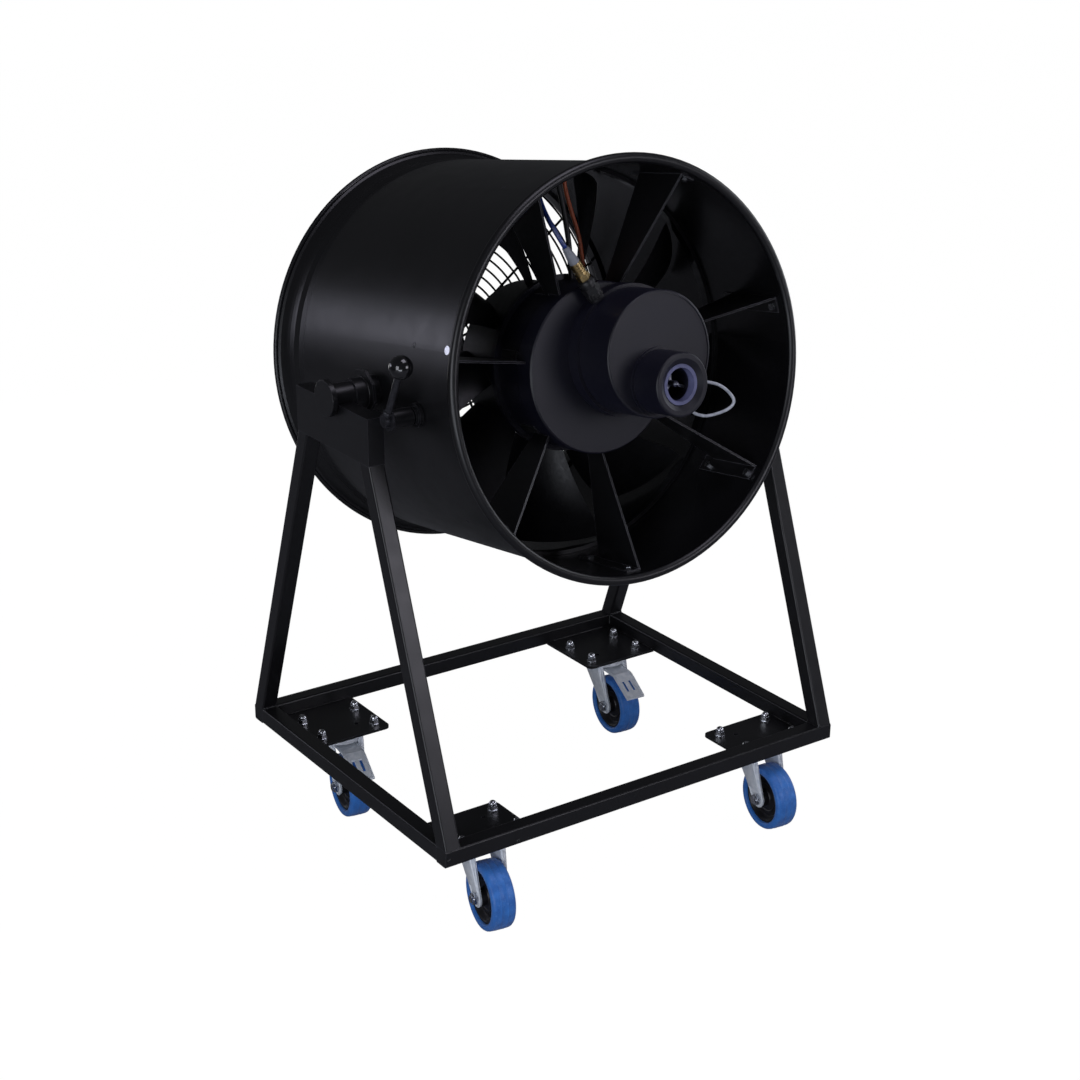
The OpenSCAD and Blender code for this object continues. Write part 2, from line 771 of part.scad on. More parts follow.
module vane_bolt_places() vane_angles() {
  vane_bolt_place(vane_front_z - vane_bolt_front) children();
  vane_bolt_place(vane_foot_rear_z + vane_bolt_rear) children();
}

module vane_bolt_holes() vane_bolt_places() translate([0, 0, (motor_r + shell_in) / 2])
  cylinder(h = shell_r / 2, r = vane_bolt_r + bolt_clear);

module drum_shell() {
  color("#26272b") at_drum() difference() {
    rotate_extrude($fn = 128) union() {
      translate([shell_in, shell_rear_z]) square([sheet, bead_centre_z - shell_rear_z]);
      translate([bead_centre_r, bead_centre_z]) circle(bead_r);
    }
    vane_bolt_holes();
  }
}

// Inlet ring: a groove, then a flare that ends in a rolled lip
function flare_point(k) = let (n = len(FLARE_SHARES) - 1, start = GROOVE_SHARES[3][0])
  [shell_r + (flare - lip_r / 2) * FLARE_SHARES[k],
   shell_rear_z - inlet_ring_l * start - (inlet_ring_l * (1 - start) - lip_r) * k / n];
inlet_outer = concat(
  [for (g = GROOVE_SHARES) [shell_r - groove_depth * g[1], shell_rear_z - inlet_ring_l * g[0]]],
  [for (k = [1:len(FLARE_SHARES) - 2]) flare_point(k)]);
lip_points = [for (a = [120:-14.5:-170]) [lip_centre_r + lip_r * cos(a), -lip_centre_z + lip_r * sin(a)]];

module inlet_ring() {
  count = len(inlet_outer);
  color("#26272b") at_drum() rotate_extrude($fn = 128)
    polygon(concat(inlet_outer, lip_points, [for (k = [count - 1:-1:0]) inlet_outer[k] - [sheet, 0]]));
}

// Ring round the impeller
module throat_ring() {
  color("#2c2d31") at_drum() translate([0, 0, throat_z]) rotate_extrude($fn = 128)
    polygon([
      [shell_in, 0], [shell_in, throat_l], [shell_in - throat_depth, throat_l],
      [shell_in - throat_depth, throat_depth], [shell_in - sheet, 0],
    ]);
}

// Wire grille over the inlet: rings, and spokes that lie on them
module grille_rings() {
  color("#17181a") at_drum() translate([0, 0, grille_z]) {
    for (r = [ring_first_r:ring_pitch:ring_last_r - ring_pitch / 2]) rotate_extrude()
      translate([r, 0]) circle(ring_wire_r, $fn = 16);
    rotate_extrude() translate([ring_last_r, 0]) circle(ring_wire_r, $fn = 16);
  }
}

module grille_spokes() {
  spoke_start = grille_hub_r - 2 * spoke_wire_r;
  color("#17181a") at_drum() {
    for (k = [0:spoke_count - 1]) rotate([0, 0, k * 360 / spoke_count])
      translate([spoke_start, 0, spoke_z]) rotate([0, 90, 0])
        cylinder(h = spoke_end_r - spoke_start, r = spoke_wire_r, $fn = 16);
    translate([0, 0, spoke_z - grille_hub_t / 2]) cylinder(h = grille_hub_t, r = grille_hub_r);
  }
}

// Guide vane: a plate that tapers from the shell to the motor, with a bent foot at each end
module foot_strip(r_in, r_out, z0, z1, w) {
  translate([0, 0, z0]) intersection() {
    difference() {
      cylinder(h = z1 - z0, r = r_out, $fn = 128);
      translate([0, 0, -over]) cylinder(h = z1 - z0 + 2 * over, r = r_in, $fn = 128);
    }
    translate([0, -w, 0]) cube([r_out + over, w + vane_t / 2, z1 - z0]);
  }
}

module guide_vane() {
  foot_r = shell_in - vane_foot_t;
  body_front = motor_body_front_z - over;
  intersection() {
    difference() {
      rotate([90, 0, 0]) linear_extrude(vane_t, center = true) polygon([
        [motor_body_r - over, vane_root_rear_z], [motor_body_r - over, body_front],
        [motor_r + vane_cover_gap, body_front], [motor_r + vane_cover_gap, vane_root_front_z],
        [shell_in, vane_front_z], [shell_in, vane_rear_z],
      ]);
      cylinder(h = outlet_l, r = motor_body_r, $fn = 128);
    }
    cylinder(h = outlet_l, r = shell_in, $fn = 128);
  }
  foot_strip(foot_r, shell_in, vane_foot_rear_z, vane_front_z, vane_foot_w);
  foot_strip(motor_body_r, motor_body_r + vane_foot_t, body_front - vane_inner_foot_l, body_front,
             vane_inner_foot_w);
}

module guide_vanes() {
  color("#202125") at_drum() difference() {
    vane_angles() guide_vane();
    vane_bolt_holes();
  }
}

// Bolts through the vanes' feet. One ends in a cap outside the shell.
module vane_bolts() {
  head_z = shell_in - vane_foot_t - vane_bolt_head_h - seat / 3;
  color("#c3c6cb") at_drum() {
    vane_bolt_places() {
      translate([0, 0, head_z]) cylinder(h = shell_r - head_z, r = vane_bolt_r);
      translate([0, 0, head_z]) cylinder(h = vane_bolt_head_h, r = vane_bolt_head_r, $fn = 6);
    }
    rotate([0, 0, vane_turn + VANE_ANGLES[outer_bolt_vane]])
      vane_bolt_place(vane_front_z - vane_bolt_front) {
        translate([0, 0, head_z]) cylinder(h = shell_r + over - head_z, r = vane_bolt_r);
        translate([0, 0, shell_r + seat / 3]) cylinder(h = outer_bolt_head_h, r = outer_bolt_head_r);
      }
  }
}

// Motor casing: a spun front cover, a groove, the body and a rear flange
module motor_casing() {
  in_r = motor_body_r - motor_wall;
  edge = motor_cover_edge;
  color("#3a3b45") at_drum() rotate_extrude($fn = 128) difference() {
    polygon([
      [0, motor_rear_z], [motor_body_r + motor_flange_step, motor_rear_z],
      [motor_body_r + motor_flange_step, motor_body_rear_z], [motor_body_r, motor_body_rear_z],
      [motor_body_r, motor_body_front_z], [motor_groove_r, motor_body_front_z],
      [motor_groove_r, motor_body_front_z + motor_groove], [motor_r, motor_body_front_z + motor_groove],
      [motor_r, motor_front_z - edge], [motor_r - edge, motor_front_z], [0, motor_front_z],
    ]);
    translate([0, motor_body_rear_z]) square([motor_groove_r - motor_wall, motor_front_z - motor_face_t - motor_body_rear_z]);
    translate([0, motor_rear_z - over]) square([motor_hole_r, motor_flange_t + 2 * over]);
  }
}

// Stator core, as one block inside the casing
module motor_core() {
  color("#8a8d92") at_drum() translate([0, 0, motor_body_rear_z + seat]) difference() {
    cylinder(h = core_l, r = motor_groove_r - motor_wall - core_wall_gap);
    translate([0, 0, -over]) cylinder(h = core_l + 2 * over, r = shaft_r + shaft_clear);
  }
}

// Motor shaft, from the impeller's hub into the core
module motor_shaft() {
  color("#9a9da2") at_drum() translate([0, 0, shaft_rear_z])
    cylinder(h = shaft_front_z - shaft_rear_z, r = shaft_r);
}

// Impeller hub: an open drum with a bulged nose towards the inlet and a boss for the shaft
module impeller_hub() {
  nose_r = (hub_r * hub_r + nose_h * nose_h) / (2 * nose_h);
  rear_z = hub_front_z - hub_l;
  color("#1f2024") at_drum() rotate_extrude($fn = 128) difference() {
    union() {
      translate([0, rear_z]) square([hub_r, hub_l]);
      intersection() {
        translate([0, rear_z - nose_h]) square([hub_r, nose_h]);
        translate([0, rear_z - nose_h + nose_r]) circle(nose_r, $fn = 360);
      }
    }
    translate([hub_boss_r, rear_z + hub_wall]) square([hub_r - hub_wall - hub_boss_r, hub_l - 2 * hub_wall]);
    translate([0, shaft_rear_z]) square([shaft_r, hub_l]);
  }
}

// Impeller blade, lofted from the hub to the tip on cylinders round the axis
function blend(a, b, t) = a + (b - a) * t;
function blade_ring(i) = let (
    t = BLADE_STATIONS[i],
    r = blend(blade_root_r, tip_r, t),
    chord = blend(chord_root, chord_tip, t) * TIP_CHORD_SHARES[i],
    pitch = blend(pitch_root, pitch_tip, t),
    last = len(BLADE_CHORD_SHARES) - 1,
    side = function (k, s) let (
      u = BLADE_CHORD_SHARES[k],
      along = (u - 0.5) * chord,
      bow = 4 * camber_share * chord * u * (1 - u) + s * blade_t * BLADE_THICK_SHARES[k] / 2,
      turn = (along * cos(pitch) - bow * sin(pitch)) / r * 180 / PI + blade_sweep * t
    ) [r * cos(turn), r * sin(turn), blade_z + along * sin(pitch) + bow * cos(pitch)]
  ) concat([for (k = [0:last]) side(k, 1)], [for (k = [last:-1:0]) side(k, -1)]);

function loft_sides(rings, sides) = concat(
  [for (i = [0:rings - 2], j = [0:sides - 1]) let (n = (j + 1) % sides)
    [i * sides + n, i * sides + j, (i + 1) * sides + j]],
  [for (i = [0:rings - 2], j = [0:sides - 1]) let (n = (j + 1) % sides)
    [i * sides + n, (i + 1) * sides + j, (i + 1) * sides + n]]);

function loft_faces(rings, sides) = concat(
  [[for (j = [0:sides - 1]) j]], loft_sides(rings, sides),
  [[for (j = [sides - 1:-1:0]) (rings - 1) * sides + j]]);

// Ends of a blade in strips, so that they keep to the hub's and the ring's curve
function strip_ends(rings, sides) = let (last = (rings - 1) * sides) [for (k = [0:sides / 2 - 2]) each [
  [k, k + 1, sides - 1 - k], [k + 1, sides - 2 - k, sides - 1 - k],
  [last + sides - 1 - k, last + k + 1, last + k], [last + sides - 1 - k, last + sides - 2 - k, last + k + 1],
]];

module impeller_blades() {
  rings = len(BLADE_STATIONS);
  sides = 2 * len(BLADE_CHORD_SHARES);
  points = [for (i = [0:rings - 1]) each blade_ring(i)];
  color("#1a1b1e") at_drum() for (k = [0:blade_count - 1])
    rotate([0, 0, blade_phase + k * 360 / blade_count])
      polyhedron(points, concat(loft_sides(rings, sides), strip_ends(rings, sides)));
}

// Front housing on the motor's cover, with a lid let into its front
module front_housing() {
  out = housing_r + housing_step;
  edge = housing_edge;
  color("#34353b") at_drum() translate([housing_x, housing_y, motor_front_z]) rotate_extrude() difference() {
    union() {
      square([out, housing_flange_l]);
      square([housing_r, housing_l - edge]);
      square([housing_r - edge, housing_l]);
      translate([housing_r - edge, housing_l - edge]) circle(edge);
    }
    translate([0, -over]) square([housing_r - housing_wall, housing_l - housing_lid_t + over]);
    translate([0, housing_l - housing_lid_inset]) square([housing_r - housing_rim, edge]);
  }
}

// Nozzle on the housing's lid
module at_nozzle() at_drum() translate([nozzle_x, -nozzle_drop, 0]) children();

module nozzle() {
  start = housing_front_z - housing_lid_inset;
  color("#3a3b41") at_nozzle() rotate_extrude() difference() {
    union() {
      translate([0, start]) square([nozzle_flange_r, nozzle_flange_t]);
      translate([0, start]) square([nozzle_r, nozzle_front_z - start - nozzle_edge]);
      translate([0, start]) square([nozzle_r - nozzle_edge, nozzle_front_z - start]);
      translate([nozzle_r - nozzle_edge, nozzle_front_z - nozzle_edge]) circle(nozzle_edge);
    }
    translate([0, start + nozzle_floor]) square([mouth_r + over, nozzle_front_z - start]);
    translate([0, ring_front_z - mouth_ring_l]) square([mouth_ring_out + ring_clear, nozzle_l]);
    polygon([
      [0, ring_front_z], [mouth_ring_out + ring_clear, ring_front_z],
      [mouth_ring_out + funnel_w, nozzle_front_z], [mouth_ring_out + funnel_w, nozzle_front_z + over],
      [0, nozzle_front_z + over],
    ]);
  }
}

module nozzle_ring() {
  color("#a8aecd") at_nozzle() translate([0, 0, ring_front_z - mouth_ring_l]) difference() {
    cylinder(h = mouth_ring_l + mouth_ring_proud, r = mouth_ring_out);
    translate([0, 0, -over]) cylinder(h = mouth_ring_l + mouth_ring_proud + 2 * over, r = mouth_r);
  }
}

// Three arms hold a pin in the middle of the nozzle
module nozzle_spider() {
  color("#9ea2ac") at_nozzle() translate([0, 0, spider_z]) {
    for (a = SPIDER_ANGLES) rotate([0, 0, a]) translate([0, -spider_arm_w / 2, 0])
      cube([mouth_r + over - ring_clear, spider_arm_w, spider_t]);
    cylinder(h = pin_l, r = pin_r);
    translate([0, 0, pin_l]) cylinder(h = pin_r, r1 = pin_r, r2 = pin_r / 3);
  }
}

// Round tube swept along points
function unit(v) = v / norm(v);
function tangent(p, i) = unit(p[min(i + 1, len(p) - 1)] - p[max(i - 1, 0)]);
module swept_tube(points, r, sides, ref) {
  rings = len(points);
  ring_points = [for (i = [0:rings - 1]) let (
      t = tangent(points, i),
      n = unit(cross(t, ref)),
      b = cross(t, n)
    ) each [for (j = [0:sides - 1]) points[i] + r * (cos(360 * j / sides) * n + sin(360 * j / sides) * b)]];
  polyhedron(ring_points, loft_faces(rings, sides));
}

// Thin tube that loops from the nozzle's side back to its underside
loop_back = 15;
loop_low = 5;
loop_end_gap = 0.7;
loop_z = nozzle_front_z - loop_back;
loop_end_angle = -58;
loop_start = [nozzle_x + nozzle_r, -nozzle_drop - loop_low, loop_z];
loop_end = [nozzle_x + nozzle_r * cos(loop_end_angle), -nozzle_drop + nozzle_r * sin(loop_end_angle), loop_z];
loop_out = [cos(loop_end_angle), sin(loop_end_angle), 0];

module nozzle_loop() {
  points = concat([loop_start + [seat, 0, 0], loop_start + [2 * loop_r, 0, 0]],
    [for (p = LOOP_BENDS) [p[0], p[1], loop_z]],
    [loop_end + loop_out * 3 * loop_r, loop_end + loop_out * loop_end_gap]);
  color("#b9bcc2") at_drum() swept_tube(points, loop_r, loop_sides, [0, 0, 1]);
}

// Hose: connector on the housing, brass fitting, strain relief, hose and the gland in the shell
connector_out = [cos(connector_angle), sin(connector_angle), 0];
connector_base = [housing_x, housing_y, connector_z] + connector_out * (housing_r + housing_step);
fitting_base = connector_base + connector_out * connector_l;
relief_base = fitting_base + connector_out * fitting_l;
hose_base = relief_base + connector_out * relief_l;
gland_out = [cos(shell_gland_angle), sin(shell_gland_angle), 0];
gland_inner = gland_out * (shell_in - shell_gland_l) + [0, 0, shell_gland_z];

module pointing(base, angle) translate(base) rotate([0, 0, angle]) rotate([0, 90, 0]) children();

module hose_glands() {
  color("#1a1a1c") at_drum() {
    difference() {
      union() {
        pointing(connector_base - connector_out * over, connector_angle)
          cylinder(h = connector_l + over, r = connector_r);
        pointing(connector_base + connector_out * (connector_l - connector_nut_l) / 2, connector_angle)
          cylinder(h = connector_nut_l, r = connector_nut_r, $fn = 6);
      }
      translate([housing_x, housing_y, motor_front_z - over])
        cylinder(h = housing_l, r = housing_r + housing_step);
    }
    intersection() {
      pointing(gland_inner, shell_gland_angle) cylinder(h = shell_gland_l + over, r = shell_gland_r);
      cylinder(h = outlet_l, r = shell_in, $fn = 128);
    }
  }
}

module hose_fitting() {
  color("#c9a45c") at_drum() {
    pointing(fitting_base, connector_angle) cylinder(h = fitting_l, r = fitting_r);
    pointing(fitting_base, connector_angle) cylinder(h = fitting_nut_l, r = fitting_nut_r, $fn = 6);
  }
}

module strain_relief() {
  color("#8c8f96") at_drum() pointing(relief_base, connector_angle)
    rotate_extrude() polygon([[0, 0], [relief_r1, 0], [relief_r1, fitting_nut_l / 2], [relief_r2, relief_l], [0, relief_l]]);
}

module hose() {
  points = concat([hose_base, hose_base + connector_out * 2 * hose_r], HOSE_BENDS,
    [gland_inner - gland_out * 2 * hose_r, gland_inner]);
  color("#2c4fae") at_drum() swept_tube(points, hose_r, hose_sides, [0, 0, 1]);
}

// Two cables, from the shell to the motor body
module cable_run(bends) {
  last = bends[len(bends) - 1];
  end_y = sqrt(pow(shell_in - seat, 2) - pow(last[0], 2));
  points = concat([for (p = bends) [p[0], p[1], cable_z]], [[last[0], end_y, cable_z]]);
  at_drum() swept_tube(points, cable_r, cable_sides, [0, 0, 1]);
}

module motor_cable() {
  color("#b5562a") cable_run(MOTOR_CABLE);
}

module sensor_cable() {
  color("#1b1b1d") cable_run(SENSOR_CABLE);
}

// Stub axle: an eight-sided plate on the shell, a collar and the tube that lies in the saddle
module stub_axle(side) {
  plate_x = shell_r + stub_plate_off;
  color("#242529") at_drum() scale([side, 1, 1]) difference() {
    along_x() {
      translate([0, 0, plate_x]) rotate([0, 0, 22.5])
        cylinder(h = stub_plate_t, r = stub_plate_r, $fn = 8);
      cylinder(h = plate_x + stub_plate_t + collar_l, r = collar_r);
      cylinder(h = stub_end_x, r = stub_r);
    }
    along_x() cylinder(h = stub_end_x + over, r = stub_r - stub_wall);
    cylinder(h = 2 * outlet_l, r = shell_r, center = true, $fn = 128);
  }
}

// End caps that keep the stub axles in their saddles
module axle_caps() {
  color("#2e2f34") at_drum() for (side = [-1, 1]) scale([side, 1, 1]) along_x() {
    translate([0, 0, stub_end_x]) rotate_extrude() {
      square([cap_r - over, cap_t]);
      translate([0, over]) square([cap_r, cap_t - 2 * over]);
      for (z = [over, cap_t - over]) translate([cap_r - over, z]) circle(over, $fn = 24);
    }
    translate([0, 0, stub_end_x - cap_plug_l]) cylinder(h = cap_plug_l + over, r = stub_r - stub_wall - cap_plug_gap);
  }
}

// Clamp lever: a screw through the bracket's boss, a hub and a rod
module clamp_lever() {
  color("#3a3b3f") at_clamp() {
    translate([-lever_hub_in_x - lever_hub_l, 0, 0]) along_x() {
      cylinder(h = lever_hub_l, r = lever_hub_r);
      translate([0, 0, lever_hub_l - lever_flange_t]) cylinder(h = lever_flange_t, r = lever_flange_r);
      cylinder(h = lever_hub_in_x + lever_hub_l - screw_end_x, r = screw_r);
    }
    translate([-lever_x, 0, 0]) rotate([lever_lean, 0, 0])
      cylinder(h = lever_l - ball_r + ball_flat, r = lever_rod_r);
  }
}

module clamp_ball() {
  color("#141416") at_clamp() translate([-lever_x, 0, 0]) rotate([lever_lean, 0, 0])
    translate([0, 0, lever_l]) rotate_extrude() difference() {
      circle(ball_r, $fn = 96);
      translate([-2 * ball_r, -ball_r]) square([2 * ball_r, 2 * ball_r]);
      translate([0, -2 * ball_r]) square([2 * ball_r, ball_r + ball_flat]);
    }
}

// Clamp pad, which the screw pushes against the shell
module clamp_pad() {
  color("#2e2f34") at_clamp() difference() {
    translate([-pad_in_x - pad_t - pad_sleeve_l, 0, 0]) along_x() {
      cylinder(h = pad_sleeve_l + over, r = pad_sleeve_r);
      translate([0, 0, pad_sleeve_l]) cylinder(h = pad_t, r = pad_r);
    }
    translate([-pad_in_x - pad_t - pad_sleeve_l - over, 0, 0]) along_x()
      cylinder(h = pad_in_x + pad_t + pad_sleeve_l + over - pad_bore_end_x, r = screw_r + screw_clear);
  }
}

cross_rail((tube - base_d) / 2);  // front_rail
cross_rail((base_d - tube) / 2);  // rear_rail
side_rail(-1);  // left_rail
side_rail(1);  // right_rail
leg(-1, -1);  // leg_front_left
leg(1, -1);  // leg_front_right
leg(-1, 1);  // leg_rear_left
leg(1, 1);  // leg_rear_right
head_left();
head_right();
corner_plates();
caster_bolts();
caster_plates();
clamp_lever();
clamp_ball();
clamp_pad();
drum_shell();
inlet_ring();
throat_ring();
grille_rings();
grille_spokes();
guide_vanes();
vane_bolts();
motor_casing();
motor_core();
front_housing();
nozzle();
nozzle_ring();
nozzle_spider();
nozzle_loop();
hose_glands();
hose_fitting();
strain_relief();
hose();
motor_cable();
sensor_cable();
stub_axle(-1);  // stub_axle_left
stub_axle(1);  // stub_axle_right
axle_caps();
impeller_hub();
impeller_blades();
motor_shaft();
fork(CASTERS[FL]);  // fork_fl
axle(CASTERS[FL]);  // axle_fl
rim(CASTERS[FL]);  // rim_fl
tyre(CASTERS[FL]);  // tyre_fl
fork(CASTERS[FR]);  // fork_fr
axle(CASTERS[FR]);  // axle_fr
rim(CASTERS[FR]);  // rim_fr
tyre(CASTERS[FR]);  // tyre_fr
fork(CASTERS[RL]);  // fork_rl
axle(CASTERS[RL]);  // axle_rl
rim(CASTERS[RL]);  // rim_rl
tyre(CASTERS[RL]);  // tyre_rl
pedal(CASTERS[RL]);  // pedal_rl
fork(CASTERS[RR]);  // fork_rr
axle(CASTERS[RR]);  // axle_rr
rim(CASTERS[RR]);  // rim_rr
tyre(CASTERS[RR]);  // tyre_rr
pedal(CASTERS[RR]);  // pedal_rr
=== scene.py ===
"""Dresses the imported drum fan: camera, light, finishes and the small forms that the solids leave out."""

import json
import math

import bmesh
import bpy
from mathutils import Matrix, Vector, noise


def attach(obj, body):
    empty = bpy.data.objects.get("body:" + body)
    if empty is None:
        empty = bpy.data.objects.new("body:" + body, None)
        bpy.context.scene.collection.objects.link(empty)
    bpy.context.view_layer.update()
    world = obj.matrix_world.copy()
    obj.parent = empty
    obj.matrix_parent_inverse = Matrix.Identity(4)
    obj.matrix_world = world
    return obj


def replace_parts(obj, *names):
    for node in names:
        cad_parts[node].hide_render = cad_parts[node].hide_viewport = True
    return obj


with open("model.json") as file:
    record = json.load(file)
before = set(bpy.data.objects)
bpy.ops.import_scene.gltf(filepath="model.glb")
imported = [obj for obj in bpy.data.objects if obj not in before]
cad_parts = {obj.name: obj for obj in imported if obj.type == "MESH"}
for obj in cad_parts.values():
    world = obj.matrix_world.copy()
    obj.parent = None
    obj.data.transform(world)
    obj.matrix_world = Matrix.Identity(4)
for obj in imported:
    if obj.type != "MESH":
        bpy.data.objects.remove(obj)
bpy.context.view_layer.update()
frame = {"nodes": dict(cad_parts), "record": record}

MM = 0.001

# Sizes of the model that pieces are placed by, in millimetres
STAND_Y = 1.36469
TRUNNION_Z = 724
TILT = 8
BASE_W = 700
BASE_D = 560
TUBE = 25
RAIL_BOTTOM = 130
RAIL_TOP = 155
PLATE_TOP = 134
LEG_FOOT_Y = 266.693
LEG_LEAN = 20.0617
HEAD_BOTTOM = 652
SHELL_R = 283
SHELL_IN = 280.5
CASTER_H = 130
TRAIL = 44
AXLE_DROP = 80
# Each caster's place on the base and its swivel angle in degrees; the rear two have brakes
CASTERS = {"fl": (-256, -214, -9), "fr": (256, -214, -6), "rl": (-256, 182, -8), "rr": (256, 182, -4)}
BRAKED = ("rl", "rr")


def turned(degrees, axis="Z"):
    return Matrix.Rotation(math.radians(degrees), 4, axis)


DRUM = Matrix.Translation((0, STAND_Y * MM, TRUNNION_Z * MM)) @ turned(90 - TILT, "X")
STAND = Matrix.Translation((0, STAND_Y * MM, 0))


def caster_matrix(key):
    """A frame at the middle of a caster's top plate, in metres."""
    x, y, yaw = CASTERS[key]
    place = Matrix.Translation((x * MM, y * MM, CASTER_H * MM))
    return STAND @ place @ turned(yaw)


def wheel_matrix(key):
    """A frame at a wheel's middle with Z along its axle."""
    to_axle = Matrix.Translation((0, -TRAIL * MM, -AXLE_DROP * MM))
    return caster_matrix(key) @ to_axle @ turned(90, "Y")


# Camera, fitted to the photograph: its angles in degrees, its place in metres and its focal length in pixels
CAMERA_TURN, CAMERA_DOWN, CAMERA_ROLL = 35.0, 20.9, 0.4
CAMERA_PLACE = (-1.5683, -2.2371 + STAND_Y * MM, 1.4859)
FOCAL_PIXELS = 1949.5
FRAME_PIXELS = 1080
SENSOR_MM = 36


def put(name, data):
    """A new object in the scene."""
    made = bpy.data.objects.new(name, data)
    bpy.context.scene.collection.objects.link(made)
    return made


def make_camera():
    turn, down, roll = (math.radians(v) for v in (CAMERA_TURN, CAMERA_DOWN, CAMERA_ROLL))
    level = math.cos(down)
    forward = Vector((level * math.sin(turn), level * math.cos(turn), -math.sin(down)))
    right = Vector((math.cos(turn), -math.sin(turn), 0))
    up = right.cross(forward)
    right, up = (math.cos(roll) * right + math.sin(roll) * up, math.cos(roll) * up - math.sin(roll) * right)
    data = bpy.data.cameras.new("camera")
    data.sensor_width = SENSOR_MM
    data.lens = FOCAL_PIXELS / FRAME_PIXELS * SENSOR_MM
    data.shift_x = -0.5 / FRAME_PIXELS
    data.shift_y = 0.3 / FRAME_PIXELS
    data.clip_end = 30
    camera = put("camera", data)
    rows = [(right[i], up[i], -forward[i], CAMERA_PLACE[i]) for i in range(3)]
    camera.matrix_world = Matrix(rows + [(0, 0, 0, 1)])
    bpy.context.scene.camera = camera


make_camera()


# Colours and shader nodes
def colour(code):
    """An sRGB hex colour as linear RGBA."""
    parts = [int(code[i:i + 2], 16) / 255 for i in (1, 3, 5)]
    return tuple(c / 12.92 if c <= 0.04045 else ((c + 0.055) / 1.055) ** 2.4 for c in parts) + (1,)


def blank(name):
    """An empty material with an output."""
    material = bpy.data.materials.new(name)
    material.use_nodes = True
    tree = material.node_tree
    tree.nodes.clear()
    return material, tree, add(tree, "ShaderNodeOutputMaterial")


def add(tree, kind, values=None, links=None, **settings):
    """Adds one shader node, sets its sockets and settings, and links other nodes' outputs to it."""
    node = tree.nodes.new(kind)
    for key, value in settings.items():
        setattr(node, key, value)
    for key, value in (values or {}).items():
        node.inputs[key].default_value = value
    for key, output in (links or {}).items():
        tree.links.new(output, node.inputs[key])
    return node


def start(name):
    """A material with its surface shader and the position on the object in metres."""
    material, tree, output = blank(name)
    shader = add(tree, "ShaderNodeBsdfPrincipled")
    tree.links.new(shader.outputs["BSDF"], output.inputs["Surface"])
    place = add(tree, "ShaderNodeTexCoord").outputs["Object"]
    return material, tree, shader, place


def grain(tree, place, size_mm, detail=3, stretch=None):
    """Noise whose blotches are about size_mm wide; stretch draws it out along an axis."""
    if stretch:
        place = add(tree, "ShaderNodeMapping", {"Scale": stretch}, {"Vector": place}).outputs["Vector"]
    settings = {"Scale": 1 / (size_mm * MM), "Detail": detail, "Roughness": 0.55}
    return add(tree, "ShaderNodeTexNoise", settings, {"Vector": place}).outputs["Fac"]


def spread(tree, value, low, high, start_at=0.3, end_at=0.7):
    """Maps a noise value to the range from low to high."""
    ends = {"From Min": start_at, "From Max": end_at, "To Min": low, "To Max": high}
    return add(tree, "ShaderNodeMapRange", ends, {"Value": value}).outputs["Result"]


def sums(tree, operation, first, second):
    """One sum of two numbers, the second a value or a node's output."""
    linked = {0: first} if isinstance(second, float) else {0: first, 1: second}
    values = {1: second} if isinstance(second, float) else {}
    return add(tree, "ShaderNodeMath", values, linked, operation=operation).outputs["Value"]


def mix(tree, factor, first, second):
    """Blends two colours, each a hex code or a node's output."""
    node = add(tree, "ShaderNodeMix", data_type="RGBA")
    sockets = [s for s in node.inputs if s.type == "RGBA"]
    if isinstance(factor, float):
        node.inputs["Factor"].default_value = factor
    else:
        tree.links.new(factor, node.inputs["Factor"])
    for socket, source in zip(sockets, (first, second)):
        if isinstance(source, str):
            socket.default_value = colour(source)
        else:
            tree.links.new(source, socket)
    return [o for o in node.outputs if o.type == "RGBA"][0]


def bump(tree, shader, height, depth_mm, strength):
    """Raises the surface by up to depth_mm."""
    node = add(tree, "ShaderNodeBump", {"Strength": strength, "Distance": depth_mm * MM}, {"Height": height})
    tree.links.new(node.outputs["Normal"], shader.inputs["Normal"])


def clouded(tree, place, size_mm, dark, light, detail=3):
    """A colour that drifts between two shades in clouds of size_mm."""
    return mix(tree, spread(tree, grain(tree, place, size_mm, detail), 0.0, 1.0), dark, light)


def edge_wear_and_highlight(tree, tint, edge):
    """A colour that gives way to the edge's on sharp outer edges: worn paint on most powder-coated parts, a
    painted highlight on the drum's rims and the vanes' edges.
    """
    return mix(tree, spread(tree, sharp_edge_mask(tree, 1.2), 0.0, 0.75, 0.2, 1.0), tint, edge)


def sharp_edge_mask(tree, radius_mm):
    """1 on sharp outer edges and 0 on flats, from how far a rounded normal leaves the true one."""
    rounded = add(tree, "ShaderNodeBevel", {"Radius": radius_mm * MM}, samples=4).outputs["Normal"]
    true = add(tree, "ShaderNodeNewGeometry").outputs["Normal"]
    dot = add(tree, "ShaderNodeVectorMath", links={0: rounded, 1: true}, operation="DOT_PRODUCT")
    return spread(tree, dot.outputs["Value"], 1.0, 0.0, 0.80, 0.985)


# Powder coat: sprayed and baked, so it has a fine orange-peel skin, slow changes of gloss and lighter edges,
# worn paint on most parts and a painted highlight on the vanes
def powder_coat(name, dark, light, rough, peel_mm=1.6, peel_depth=0.035, edge=None, sheen=None):
    material, tree, shader, place = start(name)
    tint = clouded(tree, place, 160, dark, light, 2)
    # Painted sheen: the sheen colour is mixed in on faces seen at a glancing angle
    if sheen:
        weight = add(tree, "ShaderNodeLayerWeight", {"Blend": 0.35}).outputs["Facing"]
        tint = mix(tree, spread(tree, weight, 0.0, 0.8, 0.1, 0.9), tint, sheen)
    if edge:
        tint = edge_wear_and_highlight(tree, tint, edge)
    tree.links.new(tint, shader.inputs["Base Color"])
    satin = spread(tree, grain(tree, place, 40, 2), rough - 0.02, rough + 0.03)
    tree.links.new(satin, shader.inputs["Roughness"])
    bump(tree, shader, grain(tree, place, peel_mm, 2), peel_depth, 0.45)
    return material


